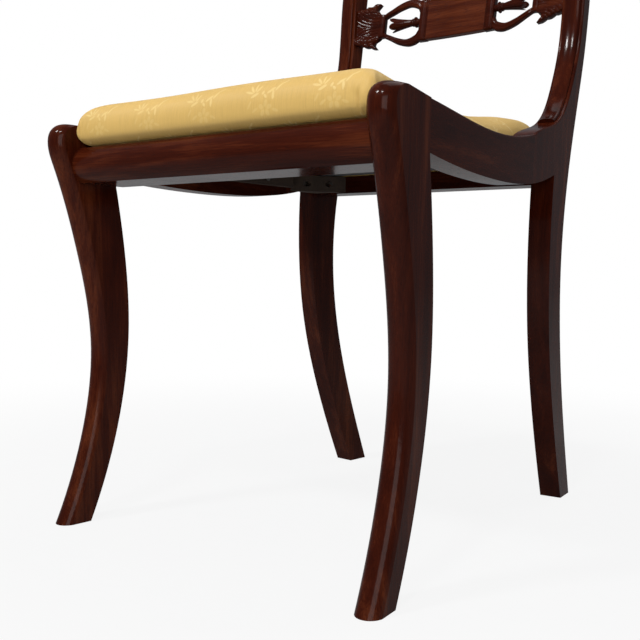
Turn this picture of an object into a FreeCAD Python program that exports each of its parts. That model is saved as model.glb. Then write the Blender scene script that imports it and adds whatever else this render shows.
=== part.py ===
import FreeCAD, Part
import math
import os

V = FreeCAD.Vector

# Frame of the part: +X to the right as seen from the front, +Y to the back, +Z up.
# All pieces are first drawn with y = 0 at the front of the front legs and z = 0 on the floor,
# and at the end everything is moved so that the origin is the middle of the base of the chair.
# Left and right in the names are as seen from the front.
# A side frame is drawn flat: s runs back along the side, t inwards through the wood, z up.

# Driving sizes of the whole chair
front_width = 480.0
side_splay = 5.05
frame_thickness = 29.0
seat_bed = 441.5
rear_leg_setback = 419.0
crest_bottom = 778.0
crest_height = 68.0
post_lean = 0.155

# Front legs
knuckle_rise = 27.0
knuckle_radius = 20.0
knuckle_front = 3.5
knuckle_end = 38.0
knuckle_fall = 2.0
front_leg_width = 78.0
front_leg_belly = 52.0
front_foot_width = 37.0
front_leg_waist = 41.5
front_toe = -3.0
foot_spare = 2.0
round_front_depth = 11.0
front_joint_rise = 21.5

# Side rails
side_rail_dip = 13.2
side_rail_drop = 26.5
side_rail_belly = 35.6
rear_joint_distance = 74.0
rear_joint_rise = 25.5
rear_joint_drop = 29.7
rail_edge_round = 2.0

# Rear legs and back posts
corner_drop = 12.7
rear_foot_sweep = 92.7
rear_foot_depth = 35.3
rear_leg_depth = 43.6
knee_rise = 48.5
knee_setback = 21.0
post_straight_rise = 158.5
post_setback = 75.5
post_depth = 22.0

# Front and back seat rails
front_rail_height = 39.0
front_rail_edge = 29.5
front_rail_bulge = 9.5
front_rail_depth = 57.0
back_rail_front = 420.0
back_rail_depth = 38.0
back_rail_drop = 23.5
back_rail_rise = 20.5
back_rail_ledge = 20.0

# Mortise and tenon joints of the frame
tenon_thickness = 10.0
tenon_depth = 30.0
stub_depth = 18.0
tenon_clearance = 0.15
side_tenon_height = 32.0
rail_tenon_width = 14.0
rail_tenon_height = 24.0
tenon_root = 5.0

# Mid rail of the back, cut from one bowed board
mid_rail_axis = 671.0
mid_rail_thickness = 14.0
mid_rail_setback = 1.0
mid_rail_bow = 12.0
tablet_half_width = 48.0
tablet_half_height = 28.5
bead_width = 10.5
loop_half_height = 34.0
loop_reach = 118.0
stem_thickness = 10.5
neck_half_height = 17.0
neck_slit = 11.0
fan_tip_reach = 138.0
fan_tip_half_height = 31.0
fan_half_height = 24.0
mid_tenon_height = 30.0
mid_tenon_thickness = 7.0
mid_tenon_depth = 14.0

# Turned and carved bud in each loop of the mid rail
bud_length = 47.0
bud_radius = 10.5
bud_tip_radius = 1.0
bud_land = 7.0
bud_gap = 0.3
bud_waist = 5.0
bud_collar_radius = 7.5
bud_collar_place = 6.0
bud_collar_width = 5.0
spigot_radius = 2.5
spigot_length = 8.0

# Crest rail
crest_thickness = 26.0
crest_overhang = 4.0
crest_bow = 14.0
crest_camber = 9.0
post_tenon_length = 22.0
post_tenon_setback = 6.0

# Rounded mouldings on the fronts of the posts, each with a peg at its foot
moulding_width = 21.0
moulding_height = 5.0
moulding_edge = 1.4
moulding_start_rise = 55.0
peg_radius = 2.6
peg_clearance = 0.05
peg_length = 12.0
peg_setback = 8.0

# Seat ledges and corner blocks inside the frame, with their screws
ledge_width = 12.0
ledge_height = 18.0
block_leg = 54.0
block_height = 22.0
block_gap = 2.0
screw_radius = 2.0
screw_head_radius = 4.0
screw_head_height = 2.6
screw_clearance = 0.1
screw_seat = 12.0
block_screw_length = 28.0
ledge_screw_length = 24.0
ledge_screw_count = 4

# Drop in seat
seat_side_gap = 0.8
seat_bed_gap = 0.8
seat_front = 27.5
seat_back_gap = 1.5
cover_thickness = 1.2
cover_margin = 17.0
cushion_rise = 48.5
cushion_crown_radius = 2600.0
cushion_corner = 23.0
least_corner = 3.0
cushion_edge_round = 21.0
cushion_draw = 5.0
seat_frame_inset = 7.0
seat_frame_thickness = 19.0
seat_rail_width = 52.0
seat_tenon_thickness = 7.0
seat_tenon_depth = 24.0
strap_width = 50.0
strap_thickness = 1.0
strap_count = 3
hessian_thickness = 0.6
dust_cover_thickness = 0.6
tack_head_radius = 2.8
tack_head_height = 0.4
tack_shank_radius = 0.8
tack_length = 9.0
tack_clearance = 0.05
cover_tack_spacing = 42.0

splay = math.radians(side_splay)
half_thickness = frame_thickness / 2
knuckle_top = seat_bed + knuckle_rise
rail_underside = seat_bed - side_rail_drop
corner_height = seat_bed - corner_drop
rear_joint = rear_leg_setback - rear_joint_distance
front_rail_back = front_rail_edge + front_rail_depth
back_rail_back = back_rail_front + back_rail_depth
lean_angle = math.atan(post_lean)
cushion_base = seat_bed + seat_bed_gap
board_bottom = cushion_base + cover_thickness
board_top = board_bottom + seat_frame_thickness
seat_back = back_rail_front + back_rail_ledge - seat_back_gap


# Small helpers for placing and drawing

def inner_half(y, gap=0.0):
    """Half of the width between the two side frames at depth y, less a gap on each side."""
    return front_width / 2 - (frame_thickness + gap) / math.cos(splay) - y * math.tan(splay)


def to_right(shape):
    """Stand a piece drawn flat, with its axes s, t and z, in the right hand side frame."""
    placed = shape.copy()
    placed.rotate(V(0, 0, 0), V(0, 0, 1), 90 + side_splay)
    placed.translate(V(front_width / 2, 0, 0))
    return placed


def mirrored(shape):
    """The same piece on the other side of the chair."""
    return shape.mirror(V(0, 0, 0), V(1, 0, 0))


def both(shape):
    """A piece of the right hand side together with its mirror image."""
    return [shape, mirrored(shape)]


def spline(points, t):
    """A smooth curve through (s, z) points at thickness t."""
    curve = Part.BSplineCurve()
    curve.interpolate([V(s, t, z) for s, z in points])
    return curve


def line(a, b, t):
    """A straight edge between two (s, z) points at thickness t."""
    return Part.makeLine(V(a[0], t, a[1]), V(b[0], t, b[1]))


def prism(edges, thickness):
    """The flat outline made by the edges, given a thickness in the t direction."""
    return Part.Face(Part.Wire(edges)).extrude(V(0, thickness, 0))


def box(low, high):
    """A box between two corners."""
    size = [b - a for a, b in zip(low, high)]
    return Part.makeBox(size[0], size[1], size[2], V(*low))


def grown(shape, by):
    """A box as large as the given one and a clearance more on every side."""
    b = shape.BoundBox
    return box((b.XMin - by, b.YMin - by, b.ZMin - by), (b.XMax + by, b.YMax + by, b.ZMax + by))


def plan_prism(points, low, high):
    """An upright prism over a polygon of (x, y) points."""
    corners = [V(x, y, low) for x, y in points]
    outline = Part.makePolygon(corners + corners[:1])
    return Part.Face(outline).extrude(V(0, 0, high - low))


def between_frames(front, back, low, high, gap=0.0):
    """The space between the two side frames, from front to back and from low to high."""
    right = [(inner_half(front, gap), front), (inner_half(back, gap), back)]
    left = [(-x, y) for x, y in reversed(right)]
    return plan_prism(right + left, low, high)


def screw(head, direction, length):
    """A countersunk screw from the middle of its head along a direction, and its hole."""
    way = V(*direction)
    way.normalize()
    top = V(*head)
    seat = Part.makeCone(screw_head_radius, screw_radius, screw_head_height, top, way)
    shank = Part.makeCylinder(screw_radius, length - screw_radius, top, way)
    point = Part.makeCone(screw_radius, screw_radius / 4, screw_radius,
                          top + way * (length - screw_radius), way)
    slot = Part.makeBox(screw_head_radius * 3, screw_radius / 2, 1.0,
                        V(-screw_head_radius * 1.5, -screw_radius / 4, 0))
    slot = slot.copy()
    slot.Placement = FreeCAD.Placement(top, FreeCAD.Rotation(V(0, 0, 1), way)).multiply(slot.Placement)
    body = seat.fuse([shank, point]).cut(slot).removeSplitter()
    bore = screw_radius + screw_clearance
    mouth = screw_head_radius + screw_clearance
    hole = Part.makeCylinder(bore, length + screw_clearance, top, way)
    sink = Part.makeCone(mouth, bore, screw_head_height + screw_clearance, top, way)
    way_in = Part.makeCylinder(mouth, block_leg, top - way * block_leg, way)
    return body, hole.fuse([sink, way_in])


# Outlines of a side frame

def post_front_points():
    """The line up the rear knee and the front of the post, from the rail joint to the crest."""
    knee = seat_bed + knee_rise
    straight = seat_bed + post_straight_rise
    lower = rear_leg_setback - 3
    upper = rear_leg_setback + post_setback
    return [(rear_joint, seat_bed + rear_joint_rise),
            (lower - 0.35 * rear_joint_distance, knee - 8),
            (lower, knee),
            (rear_leg_setback + knee_setback, knee + 14),
            (rear_leg_setback + knee_setback + 17, knee + 32),
            (upper - 20.5, straight - 50),
            (upper, straight),
            (upper + 40 * post_lean, straight + 40),
            (upper + (crest_bottom - straight) * post_lean, crest_bottom)]


def rear_front_points():
    """The front line of the rear leg, from its corner under the rail to the floor."""
    return [(rear_leg_setback, corner_height),
            (rear_leg_setback - 2.1, 0.805 * corner_height),
            (rear_leg_setback + 0.092 * rear_foot_sweep, 0.56 * corner_height),
            (rear_leg_setback + 0.463 * rear_foot_sweep, 0.28 * corner_height),
            (rear_leg_setback + rear_foot_sweep, 0)]


def rear_back_points():
    """The back line of the rear leg and post, from the floor to the crest."""
    straight = seat_bed + post_straight_rise
    upper = rear_leg_setback + post_setback + post_depth
    return [(rear_leg_setback + rear_foot_sweep + rear_foot_depth, 0),
            (rear_leg_setback + 0.463 * rear_foot_sweep + 0.935 * rear_leg_depth,
             0.28 * corner_height),
            (rear_leg_setback + 0.092 * rear_foot_sweep + rear_leg_depth, 0.56 * corner_height),
            (rear_leg_setback + rear_leg_depth, 0.77 * corner_height),
            (rear_leg_setback + rear_leg_depth + 8, 0.98 * corner_height),
            (upper - 15.5, straight - 60),
            (upper, straight),
            (upper + 40 * post_lean, straight + 40),
            (upper + (crest_bottom - straight) * post_lean, crest_bottom)]


def front_leg_front_points():
    """The front line of a front leg, from below the toe to the start of its knuckle."""
    belly = front_leg_belly
    return [(front_toe, -foot_spare),
            (0.77 * belly, 0.256 * knuckle_top),
            (belly, 0.459 * knuckle_top),
            (0.68 * belly, 0.704 * knuckle_top),
            (0.19 * belly, 0.896 * knuckle_top)]


def knuckle_points():
    """The rounded head of a front leg, as an arc and a short fall towards the side rail."""
    centre_s = knuckle_front + knuckle_radius
    centre_z = knuckle_top - knuckle_radius
    turn = [math.radians(a) for a in (180, 150, 120, 90)]
    arc = [(centre_s + knuckle_radius * math.cos(a), centre_z + knuckle_radius * math.sin(a))
           for a in turn]
    return arc + [(knuckle_end, knuckle_top - knuckle_fall)]


def front_leg_back_points():
    """The back line of a front leg, from the joint with the side rail to the heel."""
    belly = front_leg_belly
    return [(front_leg_width, rail_underside),
            (0.68 * belly + 1.315 * front_leg_waist, 0.704 * knuckle_top),
            (belly + front_leg_waist, 0.48 * knuckle_top),
            (0.77 * belly + front_foot_width, 0.256 * knuckle_top),
            (front_toe + front_foot_width, -foot_spare)]


def rail_top_points():
    """The dipped top line of a side rail, between its two joints."""
    run = rear_joint - front_leg_width
    return [(front_leg_width, seat_bed + front_joint_rise),
            (front_leg_width + 0.3 * run, seat_bed + side_rail_dip + 2.8),
            (front_leg_width + 0.52 * run, seat_bed + side_rail_dip),
            (front_leg_width + 0.865 * run, seat_bed + side_rail_dip + 5.7),
            (rear_joint, seat_bed + rear_joint_rise)]


def rail_under_points():
    """The bellied lower line of a side rail, between its two joints."""
    run = rear_joint - front_leg_width
    return [(rear_joint, seat_bed - rear_joint_drop),
            (front_leg_width + 0.8 * run, seat_bed - side_rail_belly + 1.1),
            (front_leg_width + 0.55 * run, seat_bed - side_rail_belly),
            (front_leg_width + 0.3 * run, seat_bed - side_rail_belly + 2.2),
            (front_leg_width, rail_underside)]


# Pieces of a side frame

def round_front_slice(across):
    """One outline of a front leg, at an angle across its rounded front.

    The front is part of a circle across the thickness of the leg. At each angle the front
    line lies deeper by that circle, and the depth fades to nothing over the knuckle.
    """
    radius = (half_thickness ** 2 + round_front_depth ** 2) / (2 * round_front_depth)
    t = half_thickness + radius * math.sin(across)
    depth = radius * (1 - math.cos(across))
    leg, knuckle = front_leg_front_points(), knuckle_points()
    base = spline(leg + knuckle, 0)
    fades = [1.0] * len(leg) + [math.cos(k * math.pi / 8) for k in range(len(knuckle))]
    points = []
    for (s, z), fade in zip(leg + knuckle, fades):
        run = base.tangent(base.parameter(V(s, 0, z)))[0]
        inward = (run.z, -run.x)
        if z < 0:
            inward = (1 / run.z, 0)
        points.append((s + depth * fade * inward[0], z + depth * fade * inward[1]))
    top = (front_leg_width, seat_bed + front_joint_rise)
    low = (front_leg_width, rail_underside)
    heel = (front_toe + front_foot_width, -foot_spare)
    return Part.Wire([spline(points, t).toShape(),
                      line(points[-1], top, t),
                      line(top, low, t),
                      spline(front_leg_back_points(), t).toShape(),
                      line(heel, points[0], t)])


def plain_front_leg():
    """A front leg without its mortises."""
    radius = (half_thickness ** 2 + round_front_depth ** 2) / (2 * round_front_depth)
    widest = math.asin(half_thickness / radius)
    steps = 8
    slices = [round_front_slice(widest * (2 * k / steps - 1)) for k in range(steps + 1)]
    leg = Part.makeLoft(slices, True, False)
    above_floor = box((-front_leg_width, -frame_thickness, 0),
                      (2 * front_leg_width, 2 * frame_thickness, 2 * knuckle_top))
    return leg.common(above_floor)


def side_tenon(at, reach):
    """The tenon of a side rail, from its root inside the rail to its end inside a leg."""
    middle = seat_bed - 3
    first, last = sorted((at, at + reach))
    return box((first, half_thickness - tenon_thickness / 2, middle - side_tenon_height / 2),
               (last, half_thickness + tenon_thickness / 2, middle + side_tenon_height / 2))


def cross_tenon(start, low):
    """The stub tenon of a front or back rail, from inside the rail into a leg."""
    return box((start, frame_thickness - stub_depth, low),
               (start + rail_tenon_width, frame_thickness + tenon_root, low + rail_tenon_height))


def front_cross_tenon():
    """The tenon of the front rail in a front leg."""
    return cross_tenon(front_rail_edge + 1, seat_bed - front_rail_height + 7)


def back_cross_tenon():
    """The tenon of the back rail in a rear leg."""
    return cross_tenon(back_rail_front + back_rail_ledge + tenon_root,
                       seat_bed - back_rail_drop + 4)


def front_leg():
    """A front leg with the mortises of the side rail and the front rail."""
    leg = plain_front_leg()
    mortises = [grown(side_tenon(front_leg_width + tenon_root, -tenon_depth - tenon_root),
                      tenon_clearance),
                grown(front_cross_tenon(), tenon_clearance)]
    return leg.cut(mortises)


def plain_side_rail():
    """A side rail between its shoulders."""
    top, under = rail_top_points(), rail_under_points()
    rail = prism([spline(top, 0).toShape(),
                  line(top[-1], under[0], 0),
                  spline(under, 0).toShape(),
                  line(under[-1], top[0], 0)], frame_thickness)
    return rail


def long_edges(shape, points):
    """The edges of a flat prism that lie along a curve, on both of its faces."""
    chosen = []
    for edge in shape.Edges:
        ends = [vertex.Point for vertex in edge.Vertexes]
        if len(ends) != 2 or abs(ends[0].y - ends[1].y) > 0.01:
            continue
        marks = {(round(p.x, 2), round(p.z, 2)) for p in ends}
        wanted = {(round(s, 2), round(z, 2)) for s, z in (points[0], points[-1])}
        if marks == wanted:
            chosen.append(edge)
    return chosen


def side_rail():
    """A side rail with rounded upper edges and a tenon at each end."""
    rail = plain_side_rail()
    rail = rail.makeFillet(rail_edge_round, long_edges(rail, rail_top_points()))
    front = side_tenon(front_leg_width + tenon_root, -tenon_depth - tenon_root)
    back = side_tenon(rear_joint - tenon_root, tenon_depth + tenon_root)
    return rail.fuse([front, back]).removeSplitter()


def plain_rear_leg():
    """A rear leg and back post, sawn from one board."""
    front, under, back = post_front_points(), rear_front_points(), rear_back_points()
    low = (rear_joint, seat_bed - rear_joint_drop)
    bridge = [low, (rear_joint + 0.5 * rear_joint_distance, corner_height - 10.2),
              (rear_leg_setback, corner_height)]
    return prism([spline(front, 0).toShape(),
                  line(front[-1], back[-1], 0),
                  spline(back, 0).toShape(),
                  line(back[0], under[-1], 0),
                  spline(under, 0).toShape(),
                  spline(bridge, 0).toShape(),
                  line(low, front[0], 0)], frame_thickness)


def post_tenon():
    """The tenon on top of a post, which enters the crest rail from below."""
    s, z = post_front_points()[-1]
    start = s + post_tenon_setback
    return box((start, half_thickness - tenon_thickness / 2, z - tenon_root),
               (start + tenon_thickness, half_thickness + tenon_thickness / 2,
                z + post_tenon_length))


def rear_leg():
    """A rear leg with the mortises of the side rail, the back rail and the mid rail."""
    leg = plain_rear_leg()
    leg = leg.makeFillet(rail_edge_round, long_edges(leg, post_front_points()))
    leg = leg.fuse(post_tenon()).removeSplitter()
    side = grown(side_tenon(rear_joint - tenon_root, tenon_depth + tenon_root), tenon_clearance)
    return leg.cut([side, grown(back_cross_tenon(), tenon_clearance)])


# Seat rails

def front_rail(legs):
    """The front rail, with a convex front that is scribed to the rounded front legs."""
    low, high = seat_bed - front_rail_height, seat_bed
    apex = V(0, front_rail_edge - front_rail_bulge, low + 0.45 * front_rail_height)
    outline = Part.Wire([Part.makeLine(V(0, front_rail_edge, low), V(0, front_rail_back, low)),
                         Part.makeLine(V(0, front_rail_back, low), V(0, front_rail_back, high)),
                         Part.makeLine(V(0, front_rail_back, high), V(0, front_rail_edge, high)),
                         Part.Arc(V(0, front_rail_edge, high), apex,
                                  V(0, front_rail_edge, low)).toShape()])
    length = V(front_width, 0, 0)
    bar = Part.Face(outline).extrude(length)
    bar.translate(length * -0.5)
    lip = front_rail_edge - front_rail_bulge - 1
    outer = frame_thickness / 2
    right = [(inner_half(lip, -outer), lip),
             (inner_half(front_rail_edge, -outer), front_rail_edge),
             (inner_half(front_rail_edge), front_rail_edge),
             (inner_half(front_rail_back), front_rail_back)]
    left = [(-x, y) for x, y in reversed(right)]
    space = plan_prism(right + left, low - 1, high + 1).cut(legs)
    bar = bar.common(space)
    return bar.fuse(both(to_right(front_cross_tenon()))).removeSplitter()


def back_rail():
    """The back rail, rebated along its upper front edge to carry the drop in seat."""
    low, high = seat_bed - back_rail_drop, seat_bed + back_rail_rise
    bar = between_frames(back_rail_front, back_rail_back, low, high)
    step = box((-front_width, back_rail_front - 1, seat_bed),
               (front_width, back_rail_front + back_rail_ledge, high + 1))
    bar = bar.cut(step)
    return bar.fuse(both(to_right(back_cross_tenon()))).removeSplitter()


# Back of the chair

def post_front_at(z):
    """Depth y of the front of a post at its inner face, on the straight part of the post."""
    s = (rear_leg_setback + post_setback
         + (z - seat_bed - post_straight_rise) * post_lean)
    return s * math.cos(splay) - frame_thickness * math.sin(splay)


def leaned(shape, y, z):
    """A piece of the back drawn upright, leaned back with the posts and set in place."""
    placed = shape.copy()
    placed.rotate(V(0, 0, 0), V(1, 0, 0), -math.degrees(lean_angle))
    placed.translate(V(0, y, z))
    return placed


def bowed_board(half_chord, bow, thickness, half_length, low, high):
    """An upright board bent in plan: its front goes back by the bow in the middle."""
    radius = (half_chord ** 2 + bow ** 2) / (2 * bow)
    centre = V(0, bow - radius, low)
    up = V(0, 0, 1)
    outer = Part.makeCylinder(radius + thickness, high - low, centre, up)
    inner = Part.makeCylinder(radius, high - low, centre, up)
    window = box((-half_length, -2 * thickness, low), (half_length, bow + 2 * thickness, high))
    return outer.cut(inner).common(window)


def lower_rail_edge():
    """Right half of the lower outline of the mid rail, from its middle to the post.

    The tablet's straight edge, the stem of the loop, the neck, the curled tip of the
    carved fan and three lobes that end at the post.
    """
    end = inner_half(post_front_at(mid_rail_axis)) + 5
    tablet_end = tablet_half_width + bead_width
    corner = (tablet_end, -tablet_half_height)
    neck = (loop_reach + 5, -neck_half_height)
    stem = [corner,
            (tablet_end + 10, -loop_half_height + 1),
            (tablet_end + 20, -loop_half_height),
            (0.5 * (tablet_end + loop_reach) + 6, -loop_half_height + 4.5),
            (loop_reach - 8, -neck_half_height - 5),
            neck]
    tip = (fan_tip_reach, -fan_tip_half_height)
    edges = [Part.makeLine(V(0, 0, corner[1]), V(corner[0], 0, corner[1])),
             spline(stem, 0).toShape(),
             spline([neck, (neck[0] + 6, neck[1] - 4), tip], 0).toShape()]
    lobe = (end - fan_tip_reach) / 3
    rise = (fan_tip_half_height - fan_half_height) / 3
    for k in range(3):
        a = V(tip[0] + k * lobe, 0, tip[1] + k * rise)
        b = V(tip[0] + (k + 1) * lobe, 0, tip[1] + (k + 1) * rise)
        middle = (a + b) * 0.5 + V(0, 0, -1.5)
        edges.append(Part.Arc(a, middle, b).toShape())
    return edges, end


def loop_opening():
    """The opening of the right hand loop, round at the tablet and narrow at the neck.

    It has a short upright land at the tablet, for the shoulder of the bud.
    """
    start = tablet_half_width + bead_width + 2
    deep = loop_half_height - stem_thickness
    low = [(start, -bud_land), (start + 3.5, -0.62 * deep), (start + 10, -0.9 * deep),
           (start + 20, -deep), (start + 35, -0.86 * deep), (loop_reach, -neck_slit)]
    high = [(s, -z) for s, z in reversed(low)]
    return prism([spline(high, -100).toShape(),
                  line(high[-1], low[0], -100),
                  spline(low, -100).toShape(),
                  line(low[-1], high[0], -100)], 200)


def flipped(edges):
    """The same edges turned upside down about the axis of the mid rail."""
    return [edge.mirror(V(0, 0, 0), V(0, 0, 1)) for edge in edges]


def mid_rail():
    """The mid rail: tablet, two pierced loops and two fans, with a tenon at each end."""
    lower, end = lower_rail_edge()
    right = lower + flipped(lower)
    left = [edge.mirror(V(0, 0, 0), V(1, 0, 0)) for edge in right]
    sides = []
    for half, sign in ((right, 1), (left, -1)):
        x = sign * end
        side = Part.makeLine(V(x, 0, -fan_half_height), V(x, 0, fan_half_height))
        sides += half + [side]
    outline = Part.Face(Part.Wire(Part.sortEdges(sides)[0])).extrude(V(0, 100, 0))
    outline.translate(V(0, -50, 0))
    y = post_front_at(mid_rail_axis) + mid_rail_setback
    half_chord = inner_half(y)
    board = bowed_board(half_chord, mid_rail_bow, mid_rail_thickness, end, -60, 60)
    board = board.common(outline).cut(both(loop_opening()))
    board = board.cut(both(bud_hole()))
    board = leaned(board, y, mid_rail_axis)
    board = board.common(between_frames(0, 2 * y, 0, crest_bottom))
    tenons = [leaned(tenon, y, mid_rail_axis) for tenon in both(mid_tenon())]
    return board.fuse(tenons).removeSplitter()


def mid_tenon():
    """The right hand tenon of the mid rail, in the rail's own leaned frame."""
    y = post_front_at(mid_rail_axis) + mid_rail_setback
    root = inner_half(y)
    front = (mid_rail_thickness - mid_tenon_thickness) / 2
    return box((root - tenon_root, front, -mid_tenon_height / 2),
               (root + mid_tenon_depth, front + mid_tenon_thickness, mid_tenon_height / 2))


def mid_mortise():
    """The mortise of the mid rail in the right hand post."""
    y = post_front_at(mid_rail_axis) + mid_rail_setback
    return leaned(grown(mid_tenon(), tenon_clearance), y, mid_rail_axis)


def on_bow(shape):
    """A bud drawn along +X from the tablet's end, turned and set on the bowed board."""
    y = post_front_at(mid_rail_axis) + mid_rail_setback
    half_chord = inner_half(y)
    radius = (half_chord ** 2 + mid_rail_bow ** 2) / (2 * mid_rail_bow)
    start = tablet_half_width + bead_width + 2 + bud_gap
    angle = math.asin(start / radius)
    placed = shape.copy()
    placed.rotate(V(0, 0, 0), V(0, 0, 1), -math.degrees(angle))
    depth = mid_rail_bow - radius + math.sqrt(radius ** 2 - start ** 2)
    placed.translate(V(start, depth + mid_rail_thickness / 2, 0))
    return placed


def bud_shape():
    """A bud: spigot, neck, round collar, waist and a swelling bell with a blunt point."""
    collar = bud_collar_place
    half = bud_collar_width / 2
    bell = [V(collar + half, 0, bud_waist), V(0.6 * bud_length, 0, 0.72 * bud_radius),
            V(0.86 * bud_length, 0, bud_radius)]
    nose = [V(0.86 * bud_length, 0, bud_radius), V(0.95 * bud_length, 0, 0.7 * bud_radius),
            V(bud_length, 0, bud_tip_radius)]
    edges = [Part.makeLine(V(-spigot_length, 0, 0), V(-spigot_length, 0, spigot_radius)),
             Part.makeLine(V(-spigot_length, 0, spigot_radius), V(0, 0, spigot_radius)),
             Part.makeLine(V(0, 0, spigot_radius), V(0, 0, bud_waist)),
             Part.makeLine(V(0, 0, bud_waist), V(collar - half, 0, bud_waist)),
             Part.Arc(V(collar - half, 0, bud_waist), V(collar, 0, bud_collar_radius),
                      V(collar + half, 0, bud_waist)).toShape(),
             Part.Arc(*bell).toShape(),
             Part.Arc(*nose).toShape(),
             Part.makeLine(V(bud_length, 0, bud_tip_radius), V(bud_length, 0, 0)),
             Part.makeLine(V(bud_length, 0, 0), V(-spigot_length, 0, 0))]
    return Part.Face(Part.Wire(edges)).revolve(V(0, 0, 0), V(1, 0, 0), 360)


def bud_hole():
    """The hole for the bud's spigot in the end of the tablet."""
    radius = spigot_radius + tenon_clearance
    reach = spigot_length + tenon_clearance
    return on_bow(Part.makeCylinder(radius, reach + tenon_root, V(-reach, 0, 0), V(1, 0, 0)))


def bud():
    """The right hand bud in place."""
    y = post_front_at(mid_rail_axis) + mid_rail_setback
    return leaned(on_bow(bud_shape()), y, mid_rail_axis)


def crest_rail():
    """The crest rail: a bowed board over the posts, with a cambered top and rounded ends."""
    s, z = post_front_points()[-1]
    y = s * math.cos(splay) - half_thickness * math.sin(splay)
    half_chord = inner_half(y, -half_thickness)
    end = inner_half(y, -frame_thickness) + crest_overhang
    shoulder = crest_height - crest_camber
    board = bowed_board(half_chord, crest_bow, crest_thickness, end, -30, crest_height + 1)
    outline = Part.Wire([Part.makeLine(V(-end, 0, -30), V(end, 0, -30)),
                         Part.makeLine(V(end, 0, -30), V(end, 0, shoulder)),
                         Part.Arc(V(end, 0, shoulder), V(0, 0, crest_height),
                                  V(-end, 0, shoulder)).toShape(),
                         Part.makeLine(V(-end, 0, shoulder), V(-end, 0, -30))])
    outline = Part.Face(outline).extrude(V(0, 200, 0))
    outline.translate(V(0, -100, 0))
    board = leaned(board.common(outline), y - moulding_height, z)
    floor = box((-front_width, 0, 0), (front_width, 2 * y, z))
    board = board.cut(floor)
    sockets = both(to_right(grown(post_tenon(), tenon_clearance)))
    return board.cut(sockets)


# Rounded mouldings on the posts

def moulding_slice(across):
    """One outline of a post moulding, at a place across it from -1 to 1."""
    t = half_thickness + across * moulding_width / 2
    height = moulding_edge + (moulding_height - moulding_edge) * math.sqrt(1 - across ** 2)
    whole = spline(post_front_points(), t)
    start = whole.parameter(V(rear_leg_setback, t, seat_bed + moulding_start_rise))
    end = whole.LastParameter
    steps = 8
    points = []
    for k in range(steps + 1):
        u = start + (end - start) * k / steps
        run = whole.tangent(u)[0]
        foot = whole.value(u)
        points.append((foot.x - height * run.z, foot.z + height * run.x))
    points[-1] = (points[-1][0], crest_bottom)
    low, high = whole.value(start), whole.value(end)
    return Part.Wire([whole.toShape(start, end),
                      line((high.x, high.z), points[-1], t),
                      spline(points, t).toShape(),
                      line(points[0], (low.x, low.z), t)])


def peg_line():
    """Where a peg stands on the moulding: its foot on the post and its way out."""
    whole = spline(post_front_points(), half_thickness)
    start = whole.parameter(V(rear_leg_setback, half_thickness, seat_bed + moulding_start_rise))
    u = start
    while (whole.value(u) - whole.value(start)).Length < peg_setback:
        u += 0.001
    run = whole.tangent(u)[0]
    return whole.value(u), V(-run.z, 0, run.x)


def peg(radius, reach):
    """A round peg through the moulding into the post."""
    foot, out = peg_line()
    depth = peg_length - moulding_height
    return Part.makeCylinder(radius, peg_length + reach, foot - out * depth, out)


def post_moulding():
    """The rounded strip on the front of a post, with the hole for its peg."""
    places = [-1, -0.92, -0.7, -0.38, 0, 0.38, 0.7, 0.92, 1]
    strip = Part.makeLoft([moulding_slice(a) for a in places], True, False)
    return strip.cut(peg(peg_radius + peg_clearance, moulding_height))


# Ledges, blocks and screws

def seat_ledge():
    """The strip on the inside of a side frame that carries the drop in seat."""
    start = front_rail_back + block_leg + block_gap + 3
    end = back_rail_front - block_leg - block_gap
    return box((start, frame_thickness, seat_bed - ledge_height),
               (end, frame_thickness + ledge_width, seat_bed))


def ledge_screws():
    """The screws of a seat ledge, with their holes, drawn flat."""
    ledge = seat_ledge().BoundBox
    last = rear_joint - tenon_root
    pitch = (last - ledge.XMin) / ledge_screw_count
    height = seat_bed - ledge_height / 2
    face = frame_thickness + ledge_width
    return [screw((ledge.XMin + (k + 0.5) * pitch, face, height), (0, -1, 0), ledge_screw_length)
            for k in range(ledge_screw_count)]


def corner_block(y, sign):
    """A three cornered block behind the front rail or before the back rail."""
    far = y + sign * block_leg * math.cos(splay)
    points = [(inner_half(y), y), (inner_half(y) - block_leg, y), (inner_half(far), far)]
    return plan_prism(points, seat_bed - block_height, seat_bed)


def block_screws(y, sign):
    """The two screws of a corner block, one into each rail, with their holes."""
    height = seat_bed - block_height / 2
    place = block_leg * 2 / 3
    across = (inner_half(y) - place, y + sign * screw_seat, height)
    along = y + sign * place * math.cos(splay)
    outward = V(math.cos(splay), math.sin(splay), 0)
    corner = V(inner_half(along), along, height)
    side = corner - outward * screw_seat
    return [screw(across, (0, -sign, 0), block_screw_length),
            screw((side.x, side.y, side.z), (outward.x, outward.y, 0), block_screw_length)]


# Drop in seat

def rounded_outline(points, radius, z):
    """A closed outline through (x, y) corners, each rounded with the same radius."""
    corners = [V(x, y, z) for x, y in points]
    edges = []
    ends = []
    for k, corner in enumerate(corners):
        before = (corners[k - 1] - corner).normalize()
        after = (corners[(k + 1) % len(corners)] - corner).normalize()
        half = before.getAngle(after) / 2
        reach = radius / math.tan(half)
        middle = (before + after).normalize()
        centre = corner + middle * (radius / math.sin(half))
        a, b = corner + before * reach, corner + after * reach
        ends.append((a, centre - middle * radius, b))
    for k, (a, middle, b) in enumerate(ends):
        edges.append(Part.Arc(a, middle, b).toShape())
        edges.append(Part.makeLine(b, ends[(k + 1) % len(ends)][0]))
    return Part.Wire(edges)


def seat_corners(inset):
    """Plan corners of the seat, drawn in from its widest outline."""
    front, back = seat_front + inset, seat_back - inset
    gap = seat_side_gap + inset
    right = [(inner_half(front, gap), front), (inner_half(back, gap), back)]
    return right + [(-x, y) for x, y in reversed(right)]


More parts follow.
